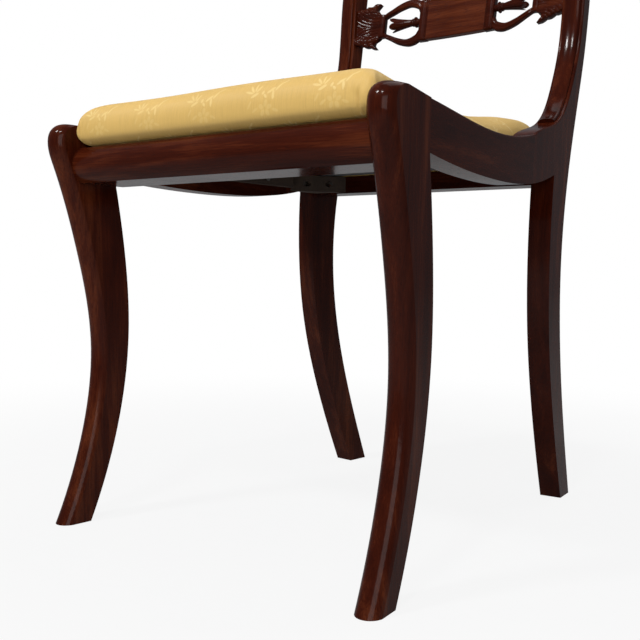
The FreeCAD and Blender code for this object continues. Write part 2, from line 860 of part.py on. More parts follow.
def cushion(shrink):
    """The stuffed form of the seat: drawn in below, upright sides, rolled edge and crown."""
    low = cushion_base + shrink
    crown = cushion_base + cushion_rise - shrink
    radius = cushion_crown_radius - shrink
    plan = rounded_outline(seat_corners(shrink), cushion_corner - shrink, low)
    form = Part.Face(plan).extrude(V(0, 0, 2 * cushion_rise))
    middle = (seat_front + seat_back) / 2
    form = form.common(Part.makeSphere(radius, V(0, middle, crown - radius)))
    upper = [e for e in form.Edges if e.BoundBox.ZMin > low + cushion_rise / 2]
    form = form.makeFillet(cushion_edge_round - shrink, upper)
    lower = [e for e in form.Edges if e.BoundBox.ZMax < low + 0.01]
    return form.makeFillet(cushion_draw - shrink, lower)


def seat_slab(inset, low, high):
    """A flat slab with the seat's outline drawn in by an inset, and its rounded corners."""
    plan = rounded_outline(seat_corners(inset), max(cushion_corner - inset, least_corner), low)
    return Part.Face(plan).extrude(V(0, 0, high - low))


def side_strip(near, far, front, back, low, high):
    """A strip along the right side of the seat, between two insets from its outline."""
    gaps = [seat_side_gap + near, seat_side_gap + far]
    points = [(inner_half(front, gaps[0]), front), (inner_half(back, gaps[0]), back),
              (inner_half(back, gaps[1]), back), (inner_half(front, gaps[1]), front)]
    return plan_prism(points, low, high)


def seat_boards():
    """The four rails of the seat frame: front and back in full, the sides tenoned in."""
    edge, width, depth = seat_frame_inset, seat_rail_width, seat_tenon_depth
    whole = seat_slab(edge, board_bottom, board_top)
    front_line = seat_front + edge + width
    back_line = seat_back - edge - width
    front = whole.common(box((-front_width, 0, 0), (front_width, front_line, crest_bottom)))
    back = whole.common(box((-front_width, back_line, 0),
                            (front_width, crest_bottom, crest_bottom)))
    side = side_strip(edge, edge + width, front_line, back_line, board_bottom, board_top)
    low = (board_bottom + board_top - seat_tenon_thickness) / 2
    tenons = side_strip(edge + width / 4, edge + width * 3 / 4, front_line - depth,
                        back_line + depth, low, low + seat_tenon_thickness)
    side = side.fuse(tenons).removeSplitter()
    slots = both(tenon_slot(tenons))
    return front.cut(slots), back.cut(slots), side, mirrored(side)


def tenon_slot(tenons):
    """The space cut for the seat frame's tenons, a clearance larger in height and length."""
    slot = tenons.copy()
    up = tenons.translated(V(0, 0, tenon_clearance))
    down = tenons.translated(V(0, 0, -tenon_clearance))
    ahead = tenons.translated(V(0, tenon_clearance, 0))
    behind = tenons.translated(V(0, -tenon_clearance, 0))
    return slot.fuse([up, down, ahead, behind])


def straps_along():
    """The webbing straps from front to back, side by side on top of the seat frame."""
    front = seat_front + seat_frame_inset + 6
    back = seat_back - seat_frame_inset - 6
    pitch = 2 * inner_half(seat_back, seat_rail_width) / strap_count
    places = [(k - (strap_count - 1) / 2) * pitch for k in range(strap_count)]
    return [box((x - strap_width / 2, front, board_top),
                (x + strap_width / 2, back, board_top + strap_thickness)) for x in places]


def straps_across():
    """The webbing straps from side to side, laid over the others."""
    front = seat_front + seat_frame_inset + seat_rail_width
    back = seat_back - seat_frame_inset - seat_rail_width
    pitch = (back - front) / strap_count
    low = board_top + strap_thickness
    straps = []
    for k in range(strap_count):
        y = front + (k + 0.5) * pitch
        half = inner_half(y + strap_width / 2, seat_side_gap + seat_frame_inset + 6)
        straps.append(box((-half, y - strap_width / 2, low),
                          (half, y + strap_width / 2, low + strap_thickness)))
    return straps


def cover_tacks():
    """Tacks through the turned under margin of the cover, round the whole seat."""
    corners = [V(x, y, 0) for x, y in seat_corners(cover_margin - 4.5)]
    tacks, holes = [], []
    for k, a in enumerate(corners):
        b = corners[(k + 1) % len(corners)]
        count = int((b - a).Length / cover_tack_spacing)
        for n in range(count):
            spot = a + (b - a) * ((n + 0.5) / count)
            head = V(spot.x, spot.y, cushion_base - tack_head_height)
            top = Part.makeCylinder(tack_head_radius, tack_head_height, head)
            shank = Part.makeCylinder(tack_shank_radius, tack_length, head)
            tacks.append(top.fuse(shank).removeSplitter())
            holes.append(Part.makeCylinder(tack_shank_radius + tack_clearance,
                                           tack_length + tack_clearance, head))
    return tacks, holes


def seat_pieces():
    """All the pieces of the drop in seat."""
    outer, inner = cushion(0), cushion(cover_thickness)
    tacks, holes = cover_tacks()
    drilled = Part.makeCompound(holes)
    front, back, right, left = [board.cut(drilled) for board in seat_boards()]
    straps_top = board_top + 2 * strap_thickness
    opening = seat_slab(cover_margin, 0, board_bottom + cover_thickness / 2)
    above = seat_slab(-20, straps_top + hessian_thickness, 2 * seat_bed)
    hessian_inset = seat_frame_inset + 4
    dust_inset = cover_margin + 1
    return {"seat_frame_front": front,
            "seat_frame_back": back,
            "seat_frame_right": right,
            "seat_frame_left": left,
            "webbing_lengthwise": Part.makeCompound(straps_along()),
            "webbing_crosswise": Part.makeCompound(straps_across()),
            "hessian": seat_slab(hessian_inset, straps_top, straps_top + hessian_thickness),
            "seat_stuffing": inner.common(above),
            "seat_cover": outer.cut(inner).cut(opening).cut(drilled),
            "dust_cover": seat_slab(dust_inset, board_bottom - dust_cover_thickness,
                                    board_bottom),
            "cover_tacks": Part.makeCompound(tacks)}


def frame_pieces():
    """All the pieces of the chair's frame."""
    plain_leg = to_right(plain_front_leg())
    leg, rail, rear = to_right(front_leg()), to_right(side_rail()), to_right(rear_leg())
    rear = rear.cut(mid_mortise())
    ledge = to_right(seat_ledge())
    strip = to_right(post_moulding())
    pin = to_right(peg(peg_radius, 0.6))
    rear = rear.cut(to_right(peg(peg_radius + peg_clearance, 0)))
    front_bar, back_bar = front_rail(both(plain_leg)), back_rail()
    front_block = corner_block(front_rail_back, 1)
    back_block = corner_block(back_rail_front, -1)
    ledge_set = [(to_right(s), to_right(h)) for s, h in ledge_screws()]
    front_set = block_screws(front_rail_back, 1)
    back_set = block_screws(back_rail_front, -1)
    ledge_holes = [h for s, h in ledge_set]
    block_holes = [h for s, h in front_set + back_set]
    all_holes = ledge_holes + block_holes
    ledge = ledge.cut(ledge_holes)
    rail = rail.cut(all_holes)
    rear = rear.cut([h for s, h in back_set])
    front_bar = front_bar.cut([h for s, h in front_set] + [mirrored(h) for s, h in front_set])
    back_bar = back_bar.cut([h for s, h in back_set] + [mirrored(h) for s, h in back_set])
    front_block = front_block.cut([h for s, h in front_set])
    back_block = back_block.cut([h for s, h in back_set])
    screws = [s for s, h in front_set + back_set]
    strips = [s for s, h in ledge_set]
    pieces = {"front_rail": front_bar,
              "back_rail": back_bar,
              "mid_rail": mid_rail(),
              "crest_rail": crest_rail(),
              "moulding_pegs": Part.makeCompound(both(pin)),
              "corner_block_screws": Part.makeCompound(screws + [mirrored(s) for s in screws]),
              "ledge_screws": Part.makeCompound(strips + [mirrored(s) for s in strips])}
    paired = {"front_leg": leg, "side_rail": rail, "rear_leg": rear, "bellflower": bud(),
              "post_moulding": strip, "seat_ledge": ledge,
              "front_corner_block": front_block, "back_corner_block": back_block}
    for name, shape in paired.items():
        pieces[name + "_right"] = shape
        pieces[name + "_left"] = mirrored(shape)
    return pieces


def main():
    """Build every piece, move the origin to the middle of the base and write the files."""
    pieces = frame_pieces()
    pieces.update(seat_pieces())
    ends = Part.makeCompound([pieces["front_leg_right"], pieces["crest_rail"]])
    bounds = ends.optimalBoundingBox(False, False)
    shift = V(0, -(bounds.YMin + bounds.YMax) / 2, 0)
    os.makedirs("parts", exist_ok=True)
    for name, shape in sorted(pieces.items()):
        placed = shape.translated(shift)
        placed.exportStep("parts/" + name + ".step")
        b = placed.optimalBoundingBox(False, False)
        print(f"{name:24s} solids {len(placed.Solids)} valid {placed.isValid()} "
              f"volume {placed.Volume / 1000:9.2f} cm3  x {b.XMin:7.1f} {b.XMax:7.1f}  "
              f"y {b.YMin:7.1f} {b.YMax:7.1f}  z {b.ZMin:6.1f} {b.ZMax:6.1f}")
    print("depth", round(bounds.YLength, 2), "moved by", round(shift.y, 3))


main()
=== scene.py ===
"""Dresses the lyre back chair: carved mid rail, upholstered seat, finishes, light and camera."""
import logging
import math
from dataclasses import dataclass, field
from enum import Enum
from typing import Any, Optional, Sequence, Union

import bmesh
import bpy
import numpy as np
from mathutils import Matrix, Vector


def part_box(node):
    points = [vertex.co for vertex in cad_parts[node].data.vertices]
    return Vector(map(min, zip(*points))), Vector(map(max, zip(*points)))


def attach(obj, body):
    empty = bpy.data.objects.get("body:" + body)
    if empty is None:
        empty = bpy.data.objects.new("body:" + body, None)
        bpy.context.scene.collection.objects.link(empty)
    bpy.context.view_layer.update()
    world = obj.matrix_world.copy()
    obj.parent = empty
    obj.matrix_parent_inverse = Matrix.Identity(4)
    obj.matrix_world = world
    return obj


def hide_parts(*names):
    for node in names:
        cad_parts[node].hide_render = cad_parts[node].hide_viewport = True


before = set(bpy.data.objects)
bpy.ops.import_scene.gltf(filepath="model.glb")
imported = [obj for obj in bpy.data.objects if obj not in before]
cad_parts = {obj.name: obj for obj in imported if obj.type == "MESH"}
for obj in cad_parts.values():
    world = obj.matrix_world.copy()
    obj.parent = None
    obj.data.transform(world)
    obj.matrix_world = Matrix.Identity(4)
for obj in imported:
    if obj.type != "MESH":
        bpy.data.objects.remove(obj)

log = logging.getLogger("chair")
MM = 0.001
FRAME_BODY = "frame"
SEAT_BODY = "seat"


# Graph of a material

class Link:
    """A socket of a material's graph that can be written in sums and products."""

    def __init__(self, graph: "Graph", socket: bpy.types.NodeSocket) -> None:
        """Keeps the graph and the socket."""
        self.graph = graph
        self.socket = socket

    def __add__(self, other: "Term") -> "Link":
        """Sum."""
        return self.graph.maths("ADD", self, other)

    def __sub__(self, other: "Term") -> "Link":
        """Difference."""
        return self.graph.maths("SUBTRACT", self, other)

    def __mul__(self, other: "Term") -> "Link":
        """Product."""
        return self.graph.maths("MULTIPLY", self, other)

    def __mod__(self, other: "Term") -> "Link":
        """Remainder that is never negative."""
        return self.graph.maths("FLOORED_MODULO", self, other)

    def __rsub__(self, other: "Term") -> "Link":
        """Difference from a number."""
        return self.graph.maths("SUBTRACT", other, self)

    __radd__ = __add__

    def clamp(self) -> "Link":
        """The value kept between 0 and 1."""
        return self.graph.maths("MULTIPLY", self, 1.0, clamp=True)

    def ramp(self, low: float, high: float) -> "Link":
        """A smooth step from 0 at low to 1 at high."""
        return self.graph.node("ShaderNodeMapRange", {"interpolation_type": "SMOOTHSTEP"},
                               {0: self, 1: low, 2: high})

    def other(self, out: Any) -> "Link":
        """Another output of the same node."""
        return Link(self.graph, self.socket.node.outputs[out])


Term = Union[Link, float]
Colour = tuple[float, float, float]


class Graph:
    """The nodes of a material or of the world."""

    def __init__(self, name: str, world: bool = False) -> None:
        """Starts an empty graph.

        Args:
            name: name of the new material or world.
            world: whether it is a world.
        """
        self.owner = (bpy.data.worlds if world else bpy.data.materials).new(name)
        self.owner.use_nodes = True
        self.tree = self.owner.node_tree
        self.tree.nodes.clear()

    def node(self, kind: str, settings: Optional[dict[str, Any]] = None,
             values: Optional[dict[Any, Any]] = None, out: Any = 0) -> Link:
        """Adds one node.

        Args:
            kind: the node's type.
            settings: properties set before the inputs, or a ramp's stops under "stops".
            values: a number, colour or link for each input, by name or place.
            out: the name or place of the output that is wanted.

        Returns:
            The output as a link.
        """
        made = self.tree.nodes.new(kind)
        for key, value in (settings or {}).items():
            if key == "stops":
                ramp = made.color_ramp
                while len(ramp.elements) < len(value):
                    ramp.elements.new(0.5)
                for element, (place, colour) in zip(ramp.elements, value):
                    element.position = place
                    element.color = (*colour, 1.0)
            else:
                setattr(made, key, value)
        for key, value in (values or {}).items():
            socket = made.inputs[key]
            if isinstance(value, Link):
                self.tree.links.new(value.socket, socket)
            elif isinstance(value, tuple) and len(value) == 3 and socket.type == "RGBA":
                socket.default_value = (*value, 1.0)
            else:
                socket.default_value = value
        return Link(self, made.outputs[out])

    def maths(self, operation: str, first: Term, second: Term = 0.0, clamp: bool = False) -> Link:
        """A Math node on two values."""
        return self.node("ShaderNodeMath", {"operation": operation, "use_clamp": clamp},
                         {0: first, 1: second})

    def mix(self, share: Term, first: Union[Link, Colour], second: Union[Link, Colour],
            blend: str = "MIX") -> Link:
        """Two colours mixed by a share."""
        return self.node("ShaderNodeMix", {"data_type": "RGBA", "blend_type": blend},
                         {0: share, 6: first, 7: second}, out=2)

    def vector(self, operation: str, first: Link, second: Any) -> Link:
        """A Vector Math node on two values."""
        return self.node("ShaderNodeVectorMath", {"operation": operation},
                         {0: first, 1: second})

    def place(self, turn: Sequence[float] = (0, 0, 0),
              scale: Sequence[float] = (1, 1, 1)) -> Link:
        """Coordinates of the piece, turned and then scaled along each axis."""
        coords = self.node("ShaderNodeTexCoord", out="Object")
        turned = self.node("ShaderNodeMapping", {"vector_type": "POINT"},
                           {"Vector": coords, "Rotation": tuple(turn)})
        return self.node("ShaderNodeMapping", {"vector_type": "POINT"},
                         {"Vector": turned, "Scale": tuple(scale)})

    def cloth(self) -> tuple[Link, Link, Link]:
        """The cloth's own coordinates in metres, and each of the two in millimetres."""
        coords = self.node("ShaderNodeTexCoord", out="UV")
        split = self.node("ShaderNodeSeparateXYZ", None, {0: coords})
        return coords, split * (1 / MM), split.other(1) * (1 / MM)

    def noise(self, place: Link, scale: float, detail: float = 2.0, rough: float = 0.5,
              distort: float = 0.0) -> Link:
        """A noise between 0 and 1."""
        return self.node("ShaderNodeTexNoise", {"noise_dimensions": "3D"},
                         {"Vector": place, "Scale": scale, "Detail": detail,
                          "Roughness": rough, "Distortion": distort})

    def bump(self, height: Link, distance: float, strength: float = 1.0,
             normal: Optional[Link] = None) -> Link:
        """A normal from a height, with its depth in metres."""
        values = {"Height": height, "Distance": distance, "Strength": strength}
        if normal is not None:
            values["Normal"] = normal
        return self.node("ShaderNodeBump", None, values)

    def close(self, surface: Link, kind: str = "ShaderNodeOutputMaterial") -> bpy.types.ID:
        """Ends the graph with a surface and returns its material or world."""
        end = self.tree.nodes.new(kind)
        self.tree.links.new(surface.socket, end.inputs["Surface"])
        return self.owner

    def finish(self, **inputs: Any) -> bpy.types.Material:
        """Ends the graph with a Principled shader.

        Args:
            inputs: the shader's inputs, with low lines for the spaces in their names.

        Returns:
            The finished material.
        """
        values = {name.replace("_", " "): value for name, value in inputs.items()}
        return self.close(self.node("ShaderNodeBsdfPrincipled", None, values))


# Finishes

class Grain(Enum):
    """The way that a piece's fibres run, as the turn that brings them to the Z axis."""

    ACROSS = (0.0, -math.pi / 2, 0.0)
    BACK = (math.pi / 2, 0.0, 0.0)
    UP = (0.0, 0.0, 0.0)


@dataclass(frozen=True)
class PolishedMahogany:
    """Old mahogany under a deep polish, with fine pores and ribbon figure."""

    name: str
    grain: Grain
    seed: float = 0.0
    dark: Colour = (0.0120, 0.0014, 0.0006)
    middle: Colour = (0.0360, 0.0052, 0.0016)
    light: Colour = (0.1100, 0.0250, 0.0080)
    gloss: float = 0.20
    lift: float = 0.0
    band_scale: float = 95.0
    ribbon_scale: float = 24.0
    fibre_scale: float = 900.0
    pore_scale: float = 1500.0

    def build(self) -> bpy.types.Material:
        """Builds the material.

        Growth bands are a noise drawn out sixteen times along the fibres, ribbons a broader
        one, and pores are short dark flecks. Polish dulls a little in clouds.
        """
        g = Graph(self.name)
        shift = g.vector("ADD", g.place(self.grain.value), (self.seed, 0.37 * self.seed, 0.0))
        warp = g.noise(shift, 7.0, 2.0) - 0.5
        sway = g.node("ShaderNodeCombineXYZ", None, {0: warp * 0.016, 1: warp * 0.012})
        bent = g.vector("ADD", g.vector("MULTIPLY", shift, (1.0, 1.0, 0.062)), sway)
        bands = g.noise(bent, self.band_scale, 3.0, 0.55, 0.4)
        ribbon = g.noise(bent, self.ribbon_scale, 1.0, 0.5, 0.2)
        fibre = g.noise(g.vector("MULTIPLY", shift, (1.0, 1.0, 0.03)), self.fibre_scale, 2.0, 0.6)
        flecks = g.noise(g.vector("MULTIPLY", shift, (1.0, 1.0, 0.055)), self.pore_scale, 1.0)
        pores = flecks.ramp(0.60, 0.72)
        clouds = g.noise(shift, 5.0, 3.0, 0.55)
        cloudy = clouds - 0.5
        tone = bands * 0.55 + ribbon * 0.45 + (fibre - 0.5) * 0.28 + cloudy * 0.45
        colour = g.node("ShaderNodeValToRGB", {"stops": [
            (0.24, self.dark), (0.52 - self.lift, self.middle), (0.82 - self.lift, self.light)]},
            {0: tone})
        colour = g.mix(pores * 0.6, colour, self.dark)
        smudge = g.noise(shift, 14.0, 4.0, 0.6)
        roughness = self.gloss + (smudge - 0.5) * 0.14 + cloudy * 0.10 + pores * 0.12
        relief = g.bump(fibre - pores * 0.8, 0.00005, 0.55)
        relief = g.bump(clouds, 0.0010, 0.22, relief)
        return g.finish(Base_Color=colour, Roughness=roughness.clamp(), Normal=relief,
                        Specular_IOR_Level=0.02, Coat_Weight=0.14, Coat_Roughness=0.10)


@dataclass(frozen=True)
class PlainTimber:
    """Unpolished timber of the hidden parts, stained dark and a little dusty."""

    name: str
    grain: Grain
    seed: float = 0.0
    dark: Colour = (0.012, 0.006, 0.003)
    light: Colour = (0.055, 0.028, 0.013)

    def build(self) -> bpy.types.Material:
        """Builds the material from long bands, short ray flecks and saw marks."""
        g = Graph(self.name)
        shift = g.vector("ADD", g.place(self.grain.value), (self.seed, 0.0, 0.0))
        along = g.vector("MULTIPLY", shift, (1.0, 1.0, 0.06))
        bands = g.noise(along, 110.0, 3.0, 0.6, 0.5)
        flecks = g.noise(along, 800.0, 1.0).ramp(0.58, 0.70)
        saw = g.node("ShaderNodeTexWave", {"wave_type": "BANDS", "bands_direction": "Z"},
                     {"Vector": shift, "Scale": 90.0, "Distortion": 1.2, "Detail": 1.0})
        stain = g.noise(shift, 9.0, 3.0)
        colour = g.mix((bands * 0.8 + stain * 0.4 - 0.1).clamp(), self.dark, self.light)
        colour = g.mix(flecks * 0.35, colour, self.dark)
        relief = g.bump(saw * 0.5 + bands, 0.0002, 0.5)
        return g.finish(Base_Color=colour, Roughness=(0.72 + (stain - 0.5) * 0.2).clamp(),
                        Normal=relief)


@dataclass(frozen=True)
class Petal:
    """One leaf or petal of the woven sprig: an ellipse in its own place.

    Sizes are in millimetres from the middle of the sprig, the turn in degrees.
    """

    across: float
    up: float
    length: float
    width: float
    turn: float


SPRIG = (
    Petal(-20.5, 1.0, 5.4, 1.25, 168), Petal(-18.0, 4.6, 5.4, 1.25, 132),
    Petal(-13.4, 6.2, 5.0, 1.2, 97), Petal(-9.2, 4.2, 4.8, 1.2, 62),
    Petal(-13.0, -2.6, 5.0, 1.5, 24), Petal(-2.6, -0.6, 2.4, 1.5, 70),
    Petal(0.8, -4.4, 2.8, 1.3, -48), Petal(7.4, 1.2, 5.4, 1.5, 32),
    Petal(10.4, -3.4, 4.8, 1.5, 98), Petal(15.4, 5.0, 5.6, 1.3, 58),
    Petal(20.8, 10.2, 3.6, 1.0, 36),
)
FLOWER = (
    Petal(-3.0, -14.0, 3.4, 2.2, 150), Petal(2.2, -11.4, 3.4, 2.2, 80),
    Petal(6.8, -14.6, 3.4, 2.2, 20), Petal(4.8, -19.8, 3.4, 2.2, -55),
    Petal(-1.6, -19.6, 3.4, 2.2, -125), Petal(-11.0, -16.5, 4.0, 1.4, 30),
    Petal(14.5, -18.0, 4.2, 1.4, -20), Petal(-18.5, -11.5, 4.2, 1.3, 60),
)


@dataclass(frozen=True)
class Damask:
    """Gold damask: a satin ground with paler twilled sprigs in a half drop repeat."""

    name: str
    ground: Colour = (0.525, 0.338, 0.096)
    figure: Colour = (0.680, 0.510, 0.205)
    repeat_across: float = 82.4
    repeat_up: float = 80.0
    middle: tuple[float, float] = (-2.0, 22.0)
    thread: float = 0.42

    def inside(self, g: Graph, petals: Sequence[Petal], across: Link, up: Link) -> Link:
        """How far a point lies inside some petals, from 0 to 1.

        Each petal gives one less the squared distance from its middle, measured along its
        two axes, and the largest of them counts.
        """
        most: Optional[Link] = None
        for petal in petals:
            cos, sin = math.cos(math.radians(petal.turn)), math.sin(math.radians(petal.turn))
            dx, dy = across - petal.across, up - petal.up
            along = (dx * cos + dy * sin) * (1 / petal.length)
            aside = (dy * cos - dx * sin) * (1 / petal.width)
            depth = 1.0 - (along * along + aside * aside)
            most = depth if most is None else g.maths("MAXIMUM", most, depth)
        return most.ramp(-0.25, 0.35)

    def lattice(self, g: Graph, u: Link, v: Link, drop: float) -> Link:
        """Sprigs and fainter flowers of one set of cells.

        Args:
            g: the graph.
            u: the cloth's coordinate across, in millimetres.
            v: the cloth's coordinate up, in millimetres.
            drop: share of a repeat by which these cells lie aside and down.

        Returns:
            The strength of the figure.
        """
        wide, high = self.repeat_across, self.repeat_up
        across = (u - self.middle[0] + wide * (drop + 0.5)) % wide - wide / 2
        up = (v - self.middle[1] + high * (drop + 0.5)) % high - high / 2
        return g.maths("MAXIMUM", self.inside(g, SPRIG, across, up),
                       self.inside(g, FLOWER, across, up) * 0.42)

    def build(self) -> bpy.types.Material:
        """Builds the material on the cloth's own coordinates, in metres."""
        g = Graph(self.name)
        cloth, u, v = g.cloth()
        wobble = g.noise(cloth, 90.0, 2.0)
        figure = g.maths("MAXIMUM", self.lattice(g, u, v + (wobble - 0.5) * 2.2, 0.0),
                         self.lattice(g, u, v, 0.5))
        worn = g.noise(cloth, 55.0, 2.0)
        figure = figure * (0.55 + worn * 0.7)
        warp_thread = g.maths("SINE", u * (2 * math.pi / self.thread)) * 0.5 + 0.5
        weft_thread = g.maths("SINE", v * (2 * math.pi / (self.thread * 1.5))) * 0.5 + 0.5
        slub = g.noise(g.vector("MULTIPLY", cloth, (1.0, 0.06, 1.0)), 700.0, 2.0)
        faded = g.noise(cloth, 9.0, 3.0, 0.6)
        ground = g.mix(((faded - 0.5) * 0.9 + 0.5).clamp(), self.ground,
                       tuple(c * f for c, f in zip(self.ground, (1.22, 1.22, 1.25))))
        ground = g.mix(slub.ramp(0.35, 0.75) * 0.22, ground,
                       tuple(0.72 * c for c in self.ground))
        colour = g.mix((figure * (0.60 + warp_thread * 0.2)).clamp(), ground, self.figure)
        height = warp_thread * (1.0 - figure) + weft_thread * figure + figure * 0.8
        relief = g.bump(height, 0.00010, 0.7)
        relief = g.bump(g.noise(cloth, 26.0, 3.0), 0.0016, 0.35, relief)
        return g.finish(Base_Color=colour, Roughness=(0.50 - figure * 0.12
                                                      + (faded - 0.5) * 0.12).clamp(),
                        Normal=relief, Sheen_Weight=0.10, Sheen_Roughness=0.4,
                        Sheen_Tint=(1.0, 0.86, 0.55), Specular_IOR_Level=0.3)


@dataclass(frozen=True)
class PlainCloth:
    """A plain woven cloth, from loose jute to close black cotton."""

    name: str
    dark: Colour
    light: Colour
    pitch: float
    stripe: Optional[Colour] = None
    stripe_place: float = 0.0

    def build(self) -> bpy.types.Material:
        """Builds the weave from two crossed sine waves on the cloth's coordinates."""
        g = Graph(self.name)
        cloth, u, v = g.cloth()
        uneven = g.noise(cloth, 420.0, 2.0)
        turns = 2 * math.pi / self.pitch
        over = g.maths("SINE", u * turns + uneven * 1.2) * g.maths("SINE", v * turns)
        weave = over * 0.5 + 0.5
        dust = g.noise(cloth, 16.0, 3.0, 0.6)
        colour = g.mix((weave * 0.5 + uneven * 0.3 + dust * 0.3).clamp(), self.dark, self.light)
        if self.stripe is not None:
            near = 1.0 - (g.maths("ABSOLUTE", g.maths("ABSOLUTE", u) - self.stripe_place)
                          ).ramp(1.2, 1.6)
            colour = g.mix(near * 0.85, colour, self.stripe)
        relief = g.bump(weave + uneven * 0.6, 0.00022, 0.8)
        return g.finish(Base_Color=colour, Roughness=(0.86 + (dust - 0.5) * 0.12).clamp(),
                        Normal=relief, Sheen_Weight=0.15)


@dataclass(frozen=True)
class OldSteel:
    """Dull steel of screws and tacks with spots of rust."""

    name: str
    bright: Colour = (0.30, 0.29, 0.27)
    rust: Colour = (0.16, 0.055, 0.02)

    def build(self) -> bpy.types.Material:
        """Builds the metal with a rust mask from two noises."""
        g = Graph(self.name)
        place = g.place()
        spots = (g.noise(place, 260.0, 4.0, 0.65) * 0.6 + g.noise(place, 45.0, 2.0) * 0.5)
        rust = spots.ramp(0.56, 0.70)
        colour = g.mix(rust, self.bright, self.rust)
        scratch = g.noise(g.place(scale=(1, 0.08, 1)), 1800.0, 2.0)
        return g.finish(Base_Color=colour, Metallic=1.0 - rust,
                        Roughness=(0.34 + rust * 0.45 + (scratch - 0.5) * 0.2).clamp(),
                        Normal=g.bump(rust + scratch * 0.3, 0.00008, 0.5))


@dataclass(frozen=True)
class Horsehair:
    """The curled hair pad inside the seat."""

    name: str

    def build(self) -> bpy.types.Material:
        """Builds tangled dark strands from a stretched and warped noise."""
        g = Graph(self.name)
        place = g.place()
        strands = g.noise(place, 320.0, 5.0, 0.7, 3.0)
        clumps = g.noise(place, 40.0, 3.0)
        colour = g.mix((strands * 0.9 + clumps * 0.4 - 0.2).clamp(), (0.03, 0.022, 0.016),
                       (0.33, 0.27, 0.2))
        return g.finish(Base_Color=colour, Roughness=(0.8 + (clumps - 0.5) * 0.2).clamp(),
                        Normal=g.bump(strands, 0.0012, 0.9))


# Surfaces

def add(name: str, data: bpy.types.ID, axes: Optional[Sequence[np.ndarray]] = None
        ) -> bpy.types.Object:
    """Adds an object to the scene.

    Args:
        name: name of the object.
        data: its mesh, lamp or camera.
        axes: its three axes and its place, for a lamp or camera.

    Returns:
        The new object.
    """
    piece = bpy.data.objects.new(name, data)
    if axes is not None:
        matrix = np.eye(4)
        matrix[:3] = np.stack(axes, axis=1)
        piece.matrix_world = Matrix(matrix.tolist())
    bpy.context.scene.collection.objects.link(piece)
    return piece


def mesh_from_grid(name: str, points: np.ndarray, closed: bool = False, caps: bool = False,
                   uv: Optional[np.ndarray] = None) -> bpy.types.Object:
    """Makes an object from a grid of points.

    Args:
        name: name of the object.
        points: array of rows by columns by 3, in metres, in the frame of the whole chair.
        closed: whether every row closes on itself.
        caps: whether the first and last row are closed with a flat face.
        uv: array of rows by columns by 2 with the cloth's own coordinates, in metres.

    Returns:
        The new object, with its faces pointing outwards.
    """
    rows, cols = points.shape[:2]
    a, b = np.meshgrid(np.arange(rows - 1), np.arange(cols if closed else cols - 1),
                       indexing="ij")
    a2, b2 = a + 1, (b + 1) % cols
    quads = np.stack([a * cols + b, a2 * cols + b, a2 * cols + b2, a * cols + b2],
                     axis=-1).reshape(-1, 4)
    faces = quads.tolist()
    if caps:
        faces.append(list(range(cols)))
        faces.append(list(range((rows - 1) * cols, rows * cols))[::-1])
    mesh = bpy.data.meshes.new(name)
    mesh.from_pydata(points.reshape(-1, 3).tolist(), [], faces)
    if uv is not None:
        layer = mesh.uv_layers.new(name="cloth")
        corners = np.zeros(len(mesh.loops), dtype=np.int32)
        mesh.loops.foreach_get("vertex_index", corners)
        layer.data.foreach_set("uv", uv.reshape(-1, 2)[corners].astype(np.float32).ravel())
    tidy = bmesh.new()
    tidy.from_mesh(mesh)
    bmesh.ops.remove_doubles(tidy, verts=tidy.verts, dist=1e-6)
    bmesh.ops.recalc_face_normals(tidy, faces=tidy.faces)
    tidy.to_mesh(mesh)
    tidy.free()
    mesh.polygons.foreach_set("use_smooth", np.full(len(mesh.polygons), True))
    return add(name, mesh)


def dress(piece: bpy.types.Object, material: bpy.types.Material, body: str, slot: str,
          *nodes: str) -> bpy.types.Object:
    """Gives a piece its material and body, and hides the nodes it stands for.

    Args:
        piece: the object.
        material: its material.
        body: the body it moves with.
        slot: the material slot of the record; it is not used.
        nodes: the nodes that it replaces.

    Returns:
        The same object.
    """
    piece.data.materials.clear()
    piece.data.materials.append(material)
    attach(piece, body)
    if nodes:
        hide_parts(*nodes)
    log.info("%s: %d faces", piece.name, len(piece.data.polygons))
    return piece


def smooth_path(points: Sequence[Sequence[float]], count: int) -> np.ndarray:
    """A smooth line through given points.

    Each span is a cubic whose slopes at its ends are half the run between the neighbours.

    Args:
        points: the points, each of two or three numbers.
        count: how many points come back.

    Returns:
        Array of count by the number of values in a point.
    """
    p = np.asarray(points, float)
    p = np.vstack([2 * p[0] - p[1], p, 2 * p[-1] - p[-2]])
    t = np.linspace(0, len(points) - 1 - 1e-9, count)
    k = t.astype(int)
    f = (t - k)[:, None]
    a, b, c, d = p[k], p[k + 1], p[k + 2], p[k + 3]
    return 0.5 * (2 * b + (c - a) * f + (2 * a - 5 * b + 4 * c - d) * f ** 2
                  + (3 * b - a - 3 * c + d) * f ** 3)


def hand(side: int) -> str:
    """The word for a side of the chair: right for 1 and left for -1."""
    return "right" if side > 0 else "left"


def squared(turn: np.ndarray, power: float) -> tuple[np.ndarray, np.ndarray]:
    """Sine and cosine of a turn to a power, signs kept: a rounded rectangle as power falls."""
    sin, cos = np.sin(turn), np.cos(turn)
    return np.sign(sin) * np.abs(sin) ** power, np.sign(cos) * np.abs(cos) ** power


def there_and_back(front: np.ndarray, back: np.ndarray) -> np.ndarray:
    """A closed line that runs along the front and returns along the back."""
    return np.concatenate([front, back[..., ::-1]], axis=-1)


def bump_of(x: np.ndarray, middle: float, width: float) -> np.ndarray:
    """A normal curve, 1 at its middle."""
    return np.exp(-((x - middle) / width) ** 2)


# Places shared with the solids, in millimetres

